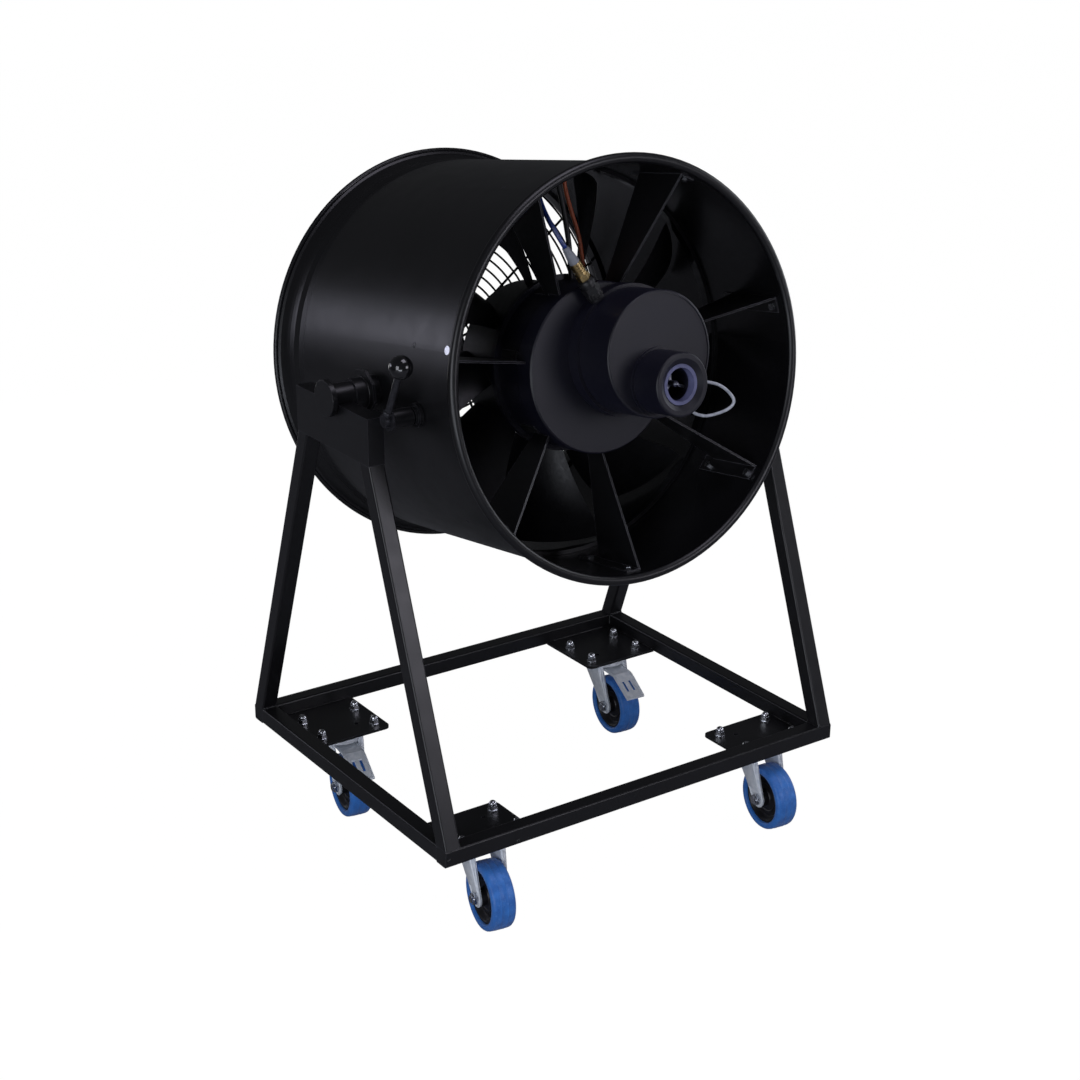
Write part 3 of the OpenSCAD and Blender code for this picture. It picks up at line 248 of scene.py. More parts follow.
# The drum's sheet: satin powder coat outside, and a slicker, smoother skin inside that mirrors what is behind
def drum_sheet(name, dark, light, rough, slick):
    material, tree, shader, place = start(name)
    # The lighter tint on sharp edges is a painted highlight on the drum's rims
    tint = edge_wear_and_highlight(tree, clouded(tree, place, 160, dark, light, 2), "#3a3a40")
    tree.links.new(tint, shader.inputs["Base Color"])
    # Faces that look towards the drum's middle are the inner ones
    centre = (0, STAND_Y * MM, TRUNNION_Z * MM)
    arm = add(tree, "ShaderNodeVectorMath", {1: centre}, {0: place}, operation="SUBTRACT").outputs["Vector"]
    normal = add(tree, "ShaderNodeTexCoord").outputs["Normal"]
    facing = add(tree, "ShaderNodeVectorMath", links={0: arm, 1: normal}, operation="DOT_PRODUCT")
    outside = spread(tree, facing.outputs["Value"], 0.0, 1.0, -0.2, -0.1)
    satin = spread(tree, grain(tree, place, 40, 2), rough - 0.02, rough + 0.03)
    rougher = sums(tree, "MULTIPLY", sums(tree, "SUBTRACT", satin, slick), outside)
    tree.links.new(sums(tree, "ADD", rougher, slick), shader.inputs["Roughness"])
    bump(tree, shader, sums(tree, "MULTIPLY", grain(tree, place, 1.6, 2), outside), 0.035, 0.45)
    return material


# Zinc plating, passivated: pale and matt with a blue-grey cast, faint rolling lines and cloudy gloss. The
# milky skin hides most of the metal, so it is only slightly metallic.
def zinc_plate(name, dark, light, rough):
    material, tree, shader, place = start(name)
    clouds = spread(tree, grain(tree, place, 9, 5), 0.0, 1.0, 0.35, 0.65)
    tree.links.new(mix(tree, clouds, dark, light), shader.inputs["Base Color"])
    shader.inputs["Metallic"].default_value = 0.15
    rolled = grain(tree, place, 3.0, 4, (1, 1, 14))
    tree.links.new(spread(tree, rolled, rough - 0.08, rough + 0.1), shader.inputs["Roughness"])
    bump(tree, shader, rolled, 0.03, 0.5)
    return material


# Turned or drawn metal: fine tool marks that catch the light
def machined(name, dark, light, rough, metallic=1.0):
    material, tree, shader, place = start(name)
    tree.links.new(clouded(tree, place, 5, dark, light, 4), shader.inputs["Base Color"])
    shader.inputs["Metallic"].default_value = metallic
    marks = grain(tree, place, 0.9, 2, (1, 6, 1))
    tree.links.new(spread(tree, marks, rough - 0.06, rough + 0.1), shader.inputs["Roughness"])
    bump(tree, shader, marks, 0.02, 0.5)
    return material


# Moulded plastic: a spark-eroded skin with slight flow clouds
def moulded(name, dark, light, rough, skin_mm=0.7, skin_depth=0.03, coat=0.0):
    material, tree, shader, place = start(name)
    tree.links.new(clouded(tree, place, 16, dark, light), shader.inputs["Base Color"])
    gloss = spread(tree, grain(tree, place, 6, 3), rough - 0.05, rough + 0.06)
    tree.links.new(gloss, shader.inputs["Roughness"])
    shader.inputs["Coat Weight"].default_value = coat
    bump(tree, shader, grain(tree, place, skin_mm, 2), skin_depth, 0.6)
    return material


# Cast elastic tyre: a waxy blue skin, paler where it is scuffed on the tread, with dust in the pores
def elastic_tyre(name, dark, light, dust):
    material, tree, shader, place = start(name)
    base = clouded(tree, place, 12, dark, light, 4)
    scuffs = spread(tree, grain(tree, place, 2.2, 5), 0.0, 0.35, 0.56, 0.78)
    tree.links.new(mix(tree, scuffs, base, dust), shader.inputs["Base Color"])
    tree.links.new(spread(tree, grain(tree, place, 5, 3), 0.38, 0.52), shader.inputs["Roughness"])
    shader.inputs["Sheen Weight"].default_value = 0.15
    bump(tree, shader, grain(tree, place, 0.8, 3), 0.04, 0.5)
    return material


# Extruded sheath or hose: faint rings from the die along a smooth skin
def sheath(name, dark, light, rough, coat=0.2):
    material, tree, shader, place = start(name)
    tree.links.new(clouded(tree, place, 7, dark, light), shader.inputs["Base Color"])
    gloss = spread(tree, grain(tree, place, 3, 2), rough - 0.05, rough + 0.05)
    tree.links.new(gloss, shader.inputs["Roughness"])
    shader.inputs["Coat Weight"].default_value = coat
    bump(tree, shader, grain(tree, place, 1.2, 2), 0.04, 0.5)
    return material


# One finish for each slot of the record. Blacks stay near #101012, as the photograph's paint does.
FINISHES = {
    "black_powder_coat": powder_coat("powder_coat_black", "#0e0e10", "#121214", 0.34, edge="#4a4a50"),
    "zinc_steel": zinc_plate("zinc_plate_pressed", "#dde4eb", "#f2f6fa", 0.36),
    "zinc_bolts": machined("zinc_plate_turned", "#b4b7bd", "#e0e2e6", 0.22),
    "black_nylon": moulded("nylon_moulded_black", "#0c0b0c", "#17161a", 0.42),
    "blue_elastic": elastic_tyre("elastic_tyre_blue", "#2a69bb", "#3a82d8", "#8fb8e8"),
    "dark_steel": machined("blackened_steel", "#2c2c30", "#47474c", 0.36, 0.7),
    "black_phenolic": moulded("phenolic_polished_black", "#08080a", "#101013", 0.16, 2.5, 0.01, 0.6),
    "black_wire": powder_coat("powder_coat_wire", "#111113", "#1a1a1d", 0.36, 1.0, 0.03),
    "impeller_black": moulded("reinforced_nylon_black", "#101012", "#19191c", 0.38, 1.4, 0.04),
    # The motor's enamel takes a painted sheen, lighter and bluer at glancing angles
    "motor_black": powder_coat("stove_enamel_blue_black", "#0d0d16", "#12121e", 0.44, 2.2, 0.05,
                               sheen="#1b1b2d"),
    "core_steel": machined("laminated_steel", "#3a3b3e", "#55565a", 0.5),
    "shaft_steel": machined("ground_steel", "#8c8e92", "#b9bbc0", 0.24),
    "pale_ring": moulded("acetal_turned_lilac", "#5c5f80", "#6d7096", 0.34),
    "dull_steel": machined("stainless_dull", "#7c7e88", "#a0a3ad", 0.34),
    "light_tube": sheath("tube_clear_grey", "#9fa4ae", "#c3c8d0", 0.28, 0.5),
    "black_plastic": moulded("polyamide_black", "#101012", "#1a1a1c", 0.40),
    "brass": machined("brass_turned", "#a88f5e", "#cdb684", 0.30),
    "grey_plastic": moulded("thermoplastic_grey", "#71757d", "#8b8f98", 0.42),
    "blue_hose": sheath("polyurethane_hose_blue", "#15275e", "#243f8c", 0.30, 0.4),
    "orange_sheath": sheath("rubber_sheath_orange", "#8a3d1c", "#ad5128", 0.5, 0.0),
    "black_sheath": sheath("rubber_sheath_black", "#121213", "#1c1c1e", 0.5, 0.0),
}

# The drum's sheet pieces and its vanes differ from the other powder-coated ones
SLICK = drum_sheet("powder_coat_throat", "#0e0e10", "#121214", 0.36, 0.10)
NODE_FINISHES = {
    "drum_shell": drum_sheet("powder_coat_drum", "#0c0c0e", "#101012", 0.34, 0.27),
    "inlet_ring": SLICK,
    "throat_ring": SLICK,
    # The vanes' cut edges are painted light grey, a painted highlight along the thin edges
    "guide_vanes": powder_coat("powder_coat_vanes", "#0e0e10", "#121214", 0.36, edge="#88888f"),
}

for sub in frame["record"]["subparts"]:
    node = frame["nodes"][sub["node"]]
    node.data.materials.clear()
    node.data.materials.append(NODE_FINISHES.get(sub["node"], FINISHES[sub["material_slot"]]))


# Mesh builders, in millimetres, set in place by a matrix
def piece(name, vertices, faces, slot, body, matrix=None, sharp=35):
    """A new object that rides on a body and takes a slot's finish."""
    mesh = bpy.data.meshes.new(name)
    mesh.from_pydata([tuple((matrix or Matrix()) @ (Vector(v) * MM)) for v in vertices], [], faces)
    mesh.validate()
    grid = bmesh.new()
    grid.from_mesh(mesh)
    bmesh.ops.recalc_face_normals(grid, faces=grid.faces)
    limit = math.radians(sharp)
    for edge in grid.edges:
        edge.smooth = len(edge.link_faces) == 2 and edge.calc_face_angle(0) < limit
    for face in grid.faces:
        face.smooth = True
    grid.to_mesh(mesh)
    grid.free()
    mesh.materials.append(FINISHES[slot])
    made = put(name, mesh)
    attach(made, body)
    return made


def rows_of_quads(rows, width, rows_meet=False, width_meets=True):
    """The quads of a grid of points, which may close on itself along either side."""
    faces = []
    for i in range(rows if rows_meet else rows - 1):
        for k in range(width if width_meets else width - 1):
            near, far = i * width, (i + 1) % rows * width
            after = (k + 1) % width
            faces.append((near + k, near + after, far + after, far + k))
    return faces


def end_caps(rows, width):
    """The flat faces that close a grid's first and last rows."""
    return [tuple(range(width)), tuple((rows - 1) * width + k for k in range(width))]


def skinned(rows):
    """A closed form through rows of points, each row a closed outline."""
    count, width = len(rows), len(rows[0])
    return [p for row in rows for p in row], rows_of_quads(count, width) + end_caps(count, width)


def lathe(profile, count=96, closed=True):
    """Turns an outline of (radius, height) about the local Z axis."""
    vertices = []
    for k in range(count):
        angle = 2 * math.pi * k / count
        vertices += [(r * math.cos(angle), r * math.sin(angle), z) for r, z in profile]
    return vertices, rows_of_quads(count, len(profile), True, closed)


def joined(shapes):
    """Several (vertices, faces) shapes as one."""
    vertices, faces = [], []
    for v, f in shapes:
        base = len(vertices)
        vertices += [tuple(p) for p in v]
        faces += [tuple(i + base for i in face) for face in f]
    return vertices, faces


def moved(shape, matrix):
    """A shape set in place by a matrix whose shift is in millimetres."""
    vertices, faces = shape
    return [tuple(matrix @ Vector(v)) for v in vertices], faces


def flow(points, steps):
    """A smooth curve through the points."""
    pts = [Vector(p) for p in points]
    out = []
    for i, (b, c) in enumerate(zip(pts, pts[1:])):
        a = pts[i - 1] if i else b * 2 - c
        d = pts[i + 2] if i + 2 < len(pts) else c * 2 - b
        for s in range(steps):
            t = s / steps
            bend = (2 * a - 5 * b + 4 * c - d) * t * t + (3 * b - a - 3 * c + d) * t ** 3
            out.append(0.5 * (2 * b + (c - a) * t + bend))
    return out + [pts[-1]]


def swept(points, radius, sides=14, closed=False):
    """A round tube along points; radius is a length or a function of the point's number."""
    pts = [Vector(p) for p in points]
    count = len(pts)
    side = None
    vertices = []
    for i, p in enumerate(pts):
        ahead = pts[(i + 1) % count] if closed or i + 1 < count else p
        behind = pts[i - 1] if closed or i else p
        way = (ahead - behind).normalized()
        if side is None:
            side = way.orthogonal().normalized()
        side = (side - way * side.dot(way)).normalized()
        other = way.cross(side)
        r = radius(i) if callable(radius) else radius
        for k in range(sides):
            angle = 2 * math.pi * k / sides
            vertices.append(p + side * (r * math.cos(angle)) + other * (r * math.sin(angle)))
    return vertices, rows_of_quads(count, sides, closed) + ([] if closed else end_caps(count, sides))


def bead(a, b, radius=1.7, pitch=1.9, seed=0.0):
    """A weld bead from a to b: overlapped puddles of uneven size."""
    a, b = Vector(a), Vector(b)
    length = (b - a).length
    count = max(6, int(length / 0.5))
    points = []
    for i in range(count + 1):
        shake = Vector([0.18 * noise.noise(Vector((i * 0.31, seed, k))) for k in range(3)])
        points.append(a.lerp(b, i / count) + shake)

    def size(i):
        puddle = 1 - ((i * length / count / pitch) % 1.0) ** 2 * 0.3
        end = min(1.0, 0.45 + 0.25 * min(i, count - i))
        return radius * puddle * end * (1 + 0.12 * noise.noise(Vector((i * 0.2, seed, 7.0))))

    return swept(points, size, 8)


# Light: soft boxes over the drum, at both sides and in front, one behind that draws the stripe along the
# drum's left side, a low one for the casters and a weak one on the floor that the drum's inside mirrors
def make_area(name, place, target, width, height, power, tint="#ffffff"):
    data = bpy.data.lights.new(name, "AREA")
    data.shape = "RECTANGLE"
    data.size = width
    data.size_y = height
    data.energy = power
    data.color = colour(tint)[:3]
    light = put(name, data)
    way = (Vector(target) - Vector(place)).normalized()
    light.matrix_world = Matrix.Translation(place) @ way.to_track_quat("-Z", "Y").to_matrix().to_4x4()


make_area("light_top", (0.3, -0.9, 3.0), (0, 0, 0.3), 1.4, 1.2, 15, "#f0ecff")
make_area("light_left", (-2.7, -1.3, 1.1), (0, 0, 0.4), 1.2, 1.6, 24, "#f2f5ff")
make_area("light_front", (1.2, -3.0, 1.3), (0, 0, 0.5), 1.2, 1.0, 17, "#f4f2ff")
make_area("light_right", (2.6, -0.6, 1.2), (0, 0, 0.6), 0.8, 1.8, 14, "#f2f5ff")
make_area("light_rear_left", (-2.0, 2.4, 1.05), (-0.2, 0, 0.7), 1.1, 0.6, 5.5, "#ececff")
make_area("light_low", (-1.7, -2.0, 0.3), (0.1, 0, 0.08), 1.3, 0.4, 9, "#eef3ff")
make_area("light_behind", (-0.1, 2.4, 0.35), (-0.1, 1.6, 0), 1.0, 0.5, 3)


def make_world():
    """White behind the fan, and a dim even light on it."""
    world = bpy.data.worlds.new("studio")
    bpy.context.scene.world = world
    world.use_nodes = True
    tree = world.node_tree
    tree.nodes.clear()
    output = add(tree, "ShaderNodeOutputWorld")
    seen = add(tree, "ShaderNodeBackground", {"Color": (1, 1, 1, 1), "Strength": 1.0})
    dim = add(tree, "ShaderNodeBackground", {"Color": colour("#e8ebf2"), "Strength": 0.07})
    ray = add(tree, "ShaderNodeLightPath").outputs["Is Camera Ray"]
    both = add(tree, "ShaderNodeMixShader", links={"Fac": ray, 1: dim.outputs[0], 2: seen.outputs[0]})
    tree.links.new(both.outputs[0], output.inputs["Surface"])


def make_floor():
    """A pale floor that runs into the white behind it and keeps a trace of shadow."""
    material, tree, output = blank("floor_paper")
    place = add(tree, "ShaderNodeTexCoord").outputs["Object"]
    tint = clouded(tree, place, 30, "#9b9c9f", "#a4a5a8")
    matt = add(tree, "ShaderNodeBsdfDiffuse", links={"Color": tint})
    glow = add(tree, "ShaderNodeEmission", {"Color": (1, 1, 1, 1), "Strength": 1.05})
    ray = add(tree, "ShaderNodeLightPath").outputs["Is Camera Ray"]
    share = sums(tree, "MULTIPLY", ray, 0.95)
    both = add(tree, "ShaderNodeMixShader", links={"Fac": share, 1: matt.outputs[0], 2: glow.outputs[0]})
    tree.links.new(both.outputs[0], output.inputs["Surface"])
    mesh = bpy.data.meshes.new("floor")
    half = 9
    corners = [(-half, -half, 0), (half, -half, 0), (half, half, 0), (-half, half, 0)]
    mesh.from_pydata(corners, [], [(0, 1, 2, 3)])
    mesh.materials.append(material)
    put("floor", mesh)


make_world()
make_floor()
bpy.context.scene.view_settings.view_transform = "Standard"


# Wheels: a crowned tyre with two mould lines and a dished rim with a bearing boss. Each point of an outline
# is (radius, place along the axle).
TYRE_HALF_WIDTH = 18
TYRE_OUTLINE = [
    (39.3, -13.9), (40.2, -15.3), (42.0, -15.9), (45.0, -15.8), (47.4, -15.0), (48.9, -13.3), (49.5, -11.0),
    (49.65, -7.0), (49.75, -5.2), (49.95, -4.9), (49.95, -4.5), (49.75, -4.2), (49.85, 0), (49.75, 4.2),
    (49.95, 4.5), (49.95, 4.9), (49.75, 5.2), (49.65, 7.0), (49.5, 11.0), (48.9, 13.3), (47.4, 15.0),
    (45.0, 15.8), (42.0, 15.9), (40.2, 15.3), (39.3, 13.9),
]
RIM_HALF = [
    (6.1, 18.2), (11.8, 18.2), (12.8, 17.4), (13.0, 9.6), (14.2, 8.0), (21.0, 6.6), (22.4, 7.6), (24.0, 7.6),
    (25.2, 6.4), (30.2, 6.2), (32.6, 8.4), (34.4, 12.2), (36.0, 13.8), (38.2, 14.2), (39.0, 13.6),
]
RIM_OUTLINE = [(r, -z) for r, z in RIM_HALF] + RIM_HALF[::-1]

widen = TYRE_HALF_WIDTH / max(z for _, z in TYRE_OUTLINE)
for key in CASTERS:
    wheel, body = wheel_matrix(key), "wheel_" + key
    tread = lathe([(r, z * widen) for r, z in TYRE_OUTLINE], 128)
    tyre = piece("tyre_tread_" + key, *tread, "blue_elastic", body, wheel, 50)
    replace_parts(tyre, "tyre_" + key)
    rim = piece("wheel_centre_" + key, *lathe(RIM_OUTLINE), "black_nylon", body, wheel, 30)
    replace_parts(rim, "rim_" + key)

# Forks: rolled edges that run down one side of each pressed leg, round the axle and up the other
LEG_FACE_X = 21.6
EDGE_TOP = -9.6
EDGE_BACK, EDGE_FRONT = 24.0, -30.0
AXLE_EYE_R = 12.4
edge = [(EDGE_BACK, EDGE_TOP)]
for k in range(11):
    angle = math.radians(-36 - k * 15.4)
    edge.append((-TRAIL + AXLE_EYE_R * math.cos(angle), -AXLE_DROP + AXLE_EYE_R * math.sin(angle)))
edge.append((EDGE_FRONT, EDGE_TOP))


# Forks: the channel walls of the pressed legs
def channel(side):
    """The hollow-backed outer wall of a fork leg, deepest at the crown and flush at the axle."""
    top, height, steps = -10.2, 57.0, 12
    crown, wall = -8.3, 21.8
    rows = []
    for i in range(steps + 1):
        z = top - height * i / steps
        t = (crown - z) / 69.4
        front, back = -29.0 - 26.8 * t, 22.5 - 58 * (crown - z) / 80.1
        deep = wall + 7.6 * (1 - t) ** 0.8 + 0.6
        cut = min(2.6, (deep - wall) * 0.6)
        nick = cut * 0.3
        half = [(wall, front + 0.6), (deep - cut, front), (deep - nick, front + nick), (deep, front + cut)]
        half += [(deep, back - cut), (deep - nick, back - nick), (deep - cut, back), (wall, back - 0.6)]
        rows.append([(side * x, y, z) for x, y in half])
    return skinned(rows)


# Forks: the skirt of the crown, and the rolled dust lip between top plate and crown
SKIRT = [(34.6, -9.2), (36.4, -8.4), (37.6, -9.4), (38.2, -11.6), (38.4, -14.4), (37.2, -15.0), (36.6, -12.0),
         (35.6, -10.8)]
RACE_LIP = [(33.4, -8.2), (36.4, -8.2), (37.3, -7.2), (37.0, -5.6), (35.4, -4.7), (33.8, -5.2)]
for key in CASTERS:
    place, body = caster_matrix(key), "fork_" + key
    edges = [swept([(side * LEG_FACE_X, y, z) for y, z in edge], 1.5, 10) for side in (-1, 1)]
    shell = [channel(-1), channel(1), lathe(SKIRT)]
    piece("fork_edges_" + key, *joined(edges), "zinc_steel", body, place, 40)
    piece("fork_shell_" + key, *joined(shell), "zinc_steel", body, place, 50)
    piece("race_lip_" + key, *lathe(RACE_LIP), "zinc_steel", body, place, 50)

# Brake pedals: raised side ribs and a rolled tip
PEDAL_SIDE = [(-25, -18.2), (-44, -18.4), (-60, -18.9), (-70, -22.6), (-86, -33.0), (-102.5, -43.6)]
PEDAL_RIB_X = 15.8
PEDAL_TIP = [(x, -103.2, -45.4) for x in (-16.4, -8, 0, 8, 16.4)]
for key in BRAKED:
    ribs = [swept(flow([(side * PEDAL_RIB_X, y, z) for y, z in PEDAL_SIDE], 5), 1.2, 10) for side in (-1, 1)]
    ribs.append(swept(PEDAL_TIP, 1.7, 10))
    piece("pedal_ribs_" + key, *joined(ribs), "zinc_steel", "pedal_" + key, caster_matrix(key), 40)


# Hose, cables and the nozzle's tube: smooth runs over the solids' routes
def run_over(name, node, points, radius, slot):
    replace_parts(piece(name, *swept(flow(points, 7), radius, 16), slot, "drum", DRUM, 60), node)


LOOP_Z = 268
CABLE_Z = 70
HOSE = [(-58.92, 174.5, 160), (-63.15, 181.28, 160), (-75, 206, 155), (-78, 219, 149), (-79, 232, 142),
        (-79.88, 245.85, 137), (-82.35, 253.46, 137)]
LOOP = [(x, y, LOOP_Z) for x, y in (
    (76.3, -20), (82.4, -20.4), (90, -22), (106, -28), (120, -38), (130, -50), (130, -58), (120, -64),
    (102, -67), (80, -67), (62, -60.5), (55.69, -52.91))]
MOTOR_CABLE = [(x, y, CABLE_Z) for x, y in (
    (33, 114.2), (33, 126), (32, 150), (28, 180), (19, 212), (12, 240), (10, 262), (10, 280.02))]
SENSOR_CABLE = [(x, y, CABLE_Z) for x, y in (
    (10.8, 118.3), (11, 140), (11, 165), (9, 190), (6, 215), (2, 240), (-2, 262), (-2, 280.19))]
run_over("blue_hose_run", "hose", HOSE, 3.4, "blue_hose")
run_over("nozzle_tube_run", "nozzle_loop", LOOP, 2.2, "light_tube")
run_over("orange_cable_run", "motor_cable", MOTOR_CABLE, 3.0, "orange_sheath")
run_over("black_cable_run", "sensor_cable", SENSOR_CABLE, 3.9, "black_sheath")


# Connector grip, brass rings and the relief's ribs along the hose's first stretch
def knurl(radius, depth, count, z0, z1):
    """A band of rounded teeth about the local Z axis, with sloped ends."""
    steps, slope = count * 6, 1.2
    vertices = []
    for z, lift in ((z0, 0.0), (z0 + slope, 1.0), (z1 - slope, 1.0), (z1, 0.0)):
        for k in range(steps):
            r = radius + depth * (0.25 + 0.75 * abs(math.cos(math.pi * k / 6))) * lift
            angle = 2 * math.pi * k / steps
            vertices.append((r * math.cos(angle), r * math.sin(angle), z))
    return vertices, rows_of_quads(4, steps)


# The connector stands on the housing, whose axis is off the drum's, and points outwards with its local Z
HOUSING_PLACE = (37, 21, 160)
HOUSING_R = 93
CONNECTOR_ANGLE = 122
CONNECTOR = Matrix.Translation(HOUSING_PLACE) @ turned(CONNECTOR_ANGLE) @ turned(90, "Y")
CONNECTOR = CONNECTOR @ Matrix.Translation((0, 0, HOUSING_R))
COLLAR = [(10.9, 26), (12.4, 26.4), (12.6, 30), (11.6, 32.4), (10.9, 32.6)]
piece("connector_grip", *moved(knurl(10.9, 1.3, 14, 3, 12), CONNECTOR), "black_plastic", "drum", DRUM, 25)
piece("connector_collar", *moved(lathe(COLLAR, 64), CONNECTOR), "black_plastic", "drum", DRUM, 40)
rings = [lathe([(7.9, z), (8.7, z + 0.4), (8.7, z + 1.4), (7.9, z + 1.8)], 48)
         for z in (45.5, 49.5, 53.5, 57.5)]
piece("fitting_rings", *moved(joined(rings), CONNECTOR), "brass", "drum", DRUM, 30)


def relief_rib(z):
    """One rib of the strain relief, which narrows away from the fitting."""
    r = 7.0 - 0.105 * (z - 64)
    return lathe([(r, z), (r + 0.7, z + 0.7), (r, z + 1.5)], 40)


ribs = [relief_rib(z) for z in (68, 71.5, 75, 78.5, 82)]
piece("relief_ribs", *moved(joined(ribs), CONNECTOR), "grey_plastic", "drum", DRUM, 30)


# Impeller blades: the solids' twisted, cambered form with a smooth skin and a rounded nose
BLADE_COUNT = 9
BLADE_PHASE = 18
# From root to tip: radius and chord in millimetres, pitch and sweep in degrees
BLADE_RADIUS, BLADE_CHORD, BLADE_PITCH, BLADE_SWEEP = (112.3, 271), (75, 155), (56, 38), (0, 11)
BLADE_THICK = 5
BLADE_CAMBER = 0.07
# How much of the chord is left towards the rounded tip
TIP_SHARES = ((0, 1), (0.7, 1), (0.86, 0.97), (1, 0.86))


def blend(ends, t):
    return ends[0] + (ends[1] - ends[0]) * t


def between(table, t):
    """The value at t in a table of (place, value), on straight lines between its rows."""
    for (a, va), (b, vb) in zip(table, table[1:]):
        if t <= b:
            return va + (vb - va) * (t - a) / (b - a)
    return table[-1][1]


def blade_row(t, steps=16):
    """The blade's closed outline at a share t of its span, over the one face and back along the other."""
    r = blend(BLADE_RADIUS, t)
    chord = blend(BLADE_CHORD, t) * between(TIP_SHARES, t)
    pitch = math.radians(blend(BLADE_PITCH, t))
    row = []
    for side in (1, -1):
        for k in range(steps + 1):
            u = (1 - math.cos(math.pi * k / steps)) / 2
            u = u if side > 0 else 1 - u
            along = (u - 0.5) * chord
            thick = BLADE_THICK * max(0.1, 2.3 * math.sqrt(u) * (1 - u) + 0.16 * u)
            bow = 4 * BLADE_CAMBER * chord * u * (1 - u) + side * min(thick, BLADE_THICK) / 2
            across = along * math.cos(pitch) - bow * math.sin(pitch)
            turn = across / r + math.radians(blend(BLADE_SWEEP, t))
            rise = along * math.sin(pitch) + bow * math.cos(pitch)
            row.append((r * math.cos(turn), r * math.sin(turn), rise))
    return row


def blade_shape(stations=22):
    return skinned([blade_row(i / stations) for i in range(stations + 1)])


blades = [moved(blade_shape(), turned(BLADE_PHASE + 360 * k / BLADE_COUNT)) for k in range(BLADE_COUNT)]
skins = piece("impeller_blade_skins", *joined(blades), "impeller_black", "impeller", DRUM, 40)
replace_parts(skins, "impeller_blades")

# Grille: a weld nugget wherever a spoke crosses a ring
NUGGET = [(0.15, -1.3), (1.5, -0.7), (1.9, 0.2), (1.4, 1.1), (0.15, 1.5)]
SPOKE_COUNT = 20
RING_RADII = [30 + 15 * k for k in range(17)] + [288.8]
GRILLE_Z = -261.3
nuggets = []
for k in range(SPOKE_COUNT):
    angle = 2 * math.pi * k / SPOKE_COUNT
    for r in RING_RADII:
        place = Matrix.Translation((r * math.cos(angle), r * math.sin(angle), GRILLE_Z))
        nuggets.append(moved(lathe(NUGGET, 8, False), place))
piece("grille_welds", *joined(nuggets), "black_wire", "drum", DRUM, 70)

# Welds of the stand: leg feet, leg tops, rail corners and the two edges where a corner plate meets the rails
PLATE_WELD_END = 205
PLATE_DEPTHS = {-1: 92, 1: 125}
PLATE_WELD_Z = PLATE_TOP + 0.4
rail_x, rail_y = BASE_W / 2 - TUBE, BASE_D / 2 - TUBE
leg_y = LEG_FOOT_Y - TUBE / 2 / math.cos(math.radians(LEG_LEAN)) - 0.4
head_y = leg_y - (HEAD_BOTTOM - RAIL_TOP) * math.tan(math.radians(LEG_LEAN))
leg_x = (rail_x + 1, rail_x + TUBE - 1)
foot_z, top_z = RAIL_TOP + 0.4, HEAD_BOTTOM - 0.4


def corner_welds(side, end):
    """The beads of one corner, mirrored from the rear right one; each has its size, pitch and seed."""
    x, y = rail_x - 0.2, rail_y - 0.2
    plate_x, plate_y = rail_x - 0.3, rail_y - 0.3
    plate_end = rail_y - PLATE_DEPTHS[end] + 14
    runs = [
        ((leg_x[0], leg_y, foot_z), (leg_x[1], leg_y, foot_z), 2.3, 2.2, side + end),
        ((leg_x[0], head_y, top_z), (leg_x[1], head_y, top_z), 2.2, 2.2, side - end),
        ((x, y, RAIL_BOTTOM + 5), (x, y, RAIL_TOP - 1.5), 2.0, 2.0, end),
        ((rail_x - 13, plate_y, PLATE_WELD_Z), (PLATE_WELD_END, plate_y, PLATE_WELD_Z), 1.5, 2.4, 3.0 + side),
        ((plate_x, rail_y - 11, PLATE_WELD_Z), (plate_x, plate_end, PLATE_WELD_Z), 1.5, 2.4, 5.0 + end),
    ]
    here = Vector((side, end, 1))
    return [bead(Vector(a) * here, Vector(b) * here, *form) for a, b, *form in runs]


welds = [weld for side in (-1, 1) for end in (-1, 1) for weld in corner_welds(side, end)]
piece("stand_welds", *joined(welds), "black_powder_coat", "stand", STAND, 60)


# Welds round the stub axles, where they meet the drum
AXLE_WELD_R = 21.4
AXLE_WELD_X = 301.3


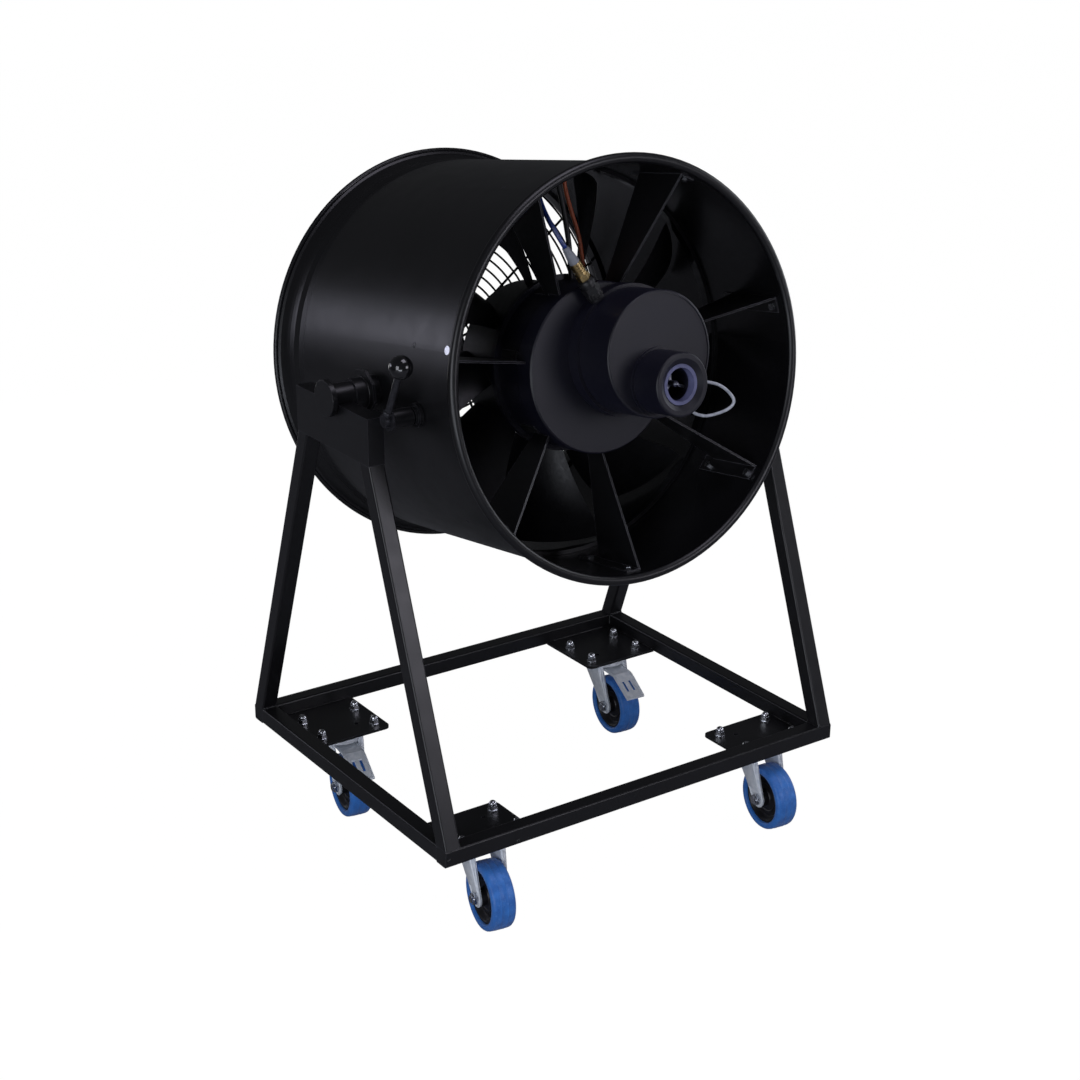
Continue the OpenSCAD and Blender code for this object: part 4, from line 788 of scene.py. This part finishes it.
def ring_bead(radius, x, size, seed, steps=96):
    """A weld bead round the tilt axis at x, in the drum's frame."""
    points = []
    for k in range(steps):
        angle = 2 * math.pi * k / steps
        wave = 0.15 * noise.noise(Vector((k * 0.4, seed, 1.0)))
        points.append((x + wave, radius * math.cos(angle), radius * math.sin(angle)))
    return swept(points, lambda i: size * (1 - 0.28 * ((i % 4) / 4) ** 2), 8, True)


collars = [ring_bead(AXLE_WELD_R, side * AXLE_WELD_X, 1.5, side) for side in (-1, 1)]
piece("axle_welds", *joined(collars), "black_powder_coat", "drum", DRUM, 60)

# Blind rivets in the front rail's face
RIVET = [(0.1, 1.5), (1.4, 1.4), (2.4, 0.8), (3.0, 0.0), (3.0, -0.6), (0.1, -0.6)]
rivets = [moved(lathe(RIVET, 32, False), Matrix.Translation((x, -BASE_D / 2, z)) @ turned(90, "X"))
          for x, z in ((-345, 141), (-232, 136))]
piece("rail_rivets", *joined(rivets), "black_powder_coat", "stand", STAND, 50)

# Paint over the ends of the vanes' bolts, flush with the shell
PAINT = [(0.01, 0.35), (3.0, 0.32), (3.7, 0.2), (4.0, 0.02), (3.6, -0.2), (0.01, -0.2)]
VANE_ANGLES = (66, 13.5, -38, -90, -137, 168.5, 116.5)
BOLT_PLACES = (193, 106)
# The one bolt that comes through with a cap of its own
CAPPED_BOLT = (168.5, 193)
BOLT_OFFSET = 13
dots = []
for angle in VANE_ANGLES:
    for z in BOLT_PLACES:
        if (angle, z) != CAPPED_BOLT:
            turn = turned(angle - math.degrees(math.asin(BOLT_OFFSET / SHELL_IN)))
            dots.append(moved(lathe(PAINT, 24), turn @ Matrix.Translation((SHELL_R, 0, z)) @ turned(90, "Y")))
piece("bolt_paint", *joined(dots), "black_powder_coat", "drum", DRUM, 50)

# Lever: a hexagon nut on the rod and a neck under the ball
LEVER_LEAN = 26
LEVER = Matrix.Translation((-331.5, -116, TRUNNION_Z - 6)) @ turned(LEVER_LEAN, "X")
nut = lathe([(4.8, 10), (7.4, 10), (7.8, 10.8), (7.8, 15), (7.2, 16), (4.8, 16)], 6)
neck = lathe([(4.8, 73.5), (6.2, 74), (6.6, 75.5), (7.6, 78.5), (4.8, 79)], 48)
piece("lever_collars", *moved(joined([nut, neck]), LEVER), "dark_steel", "clamp_lever", STAND, 30)
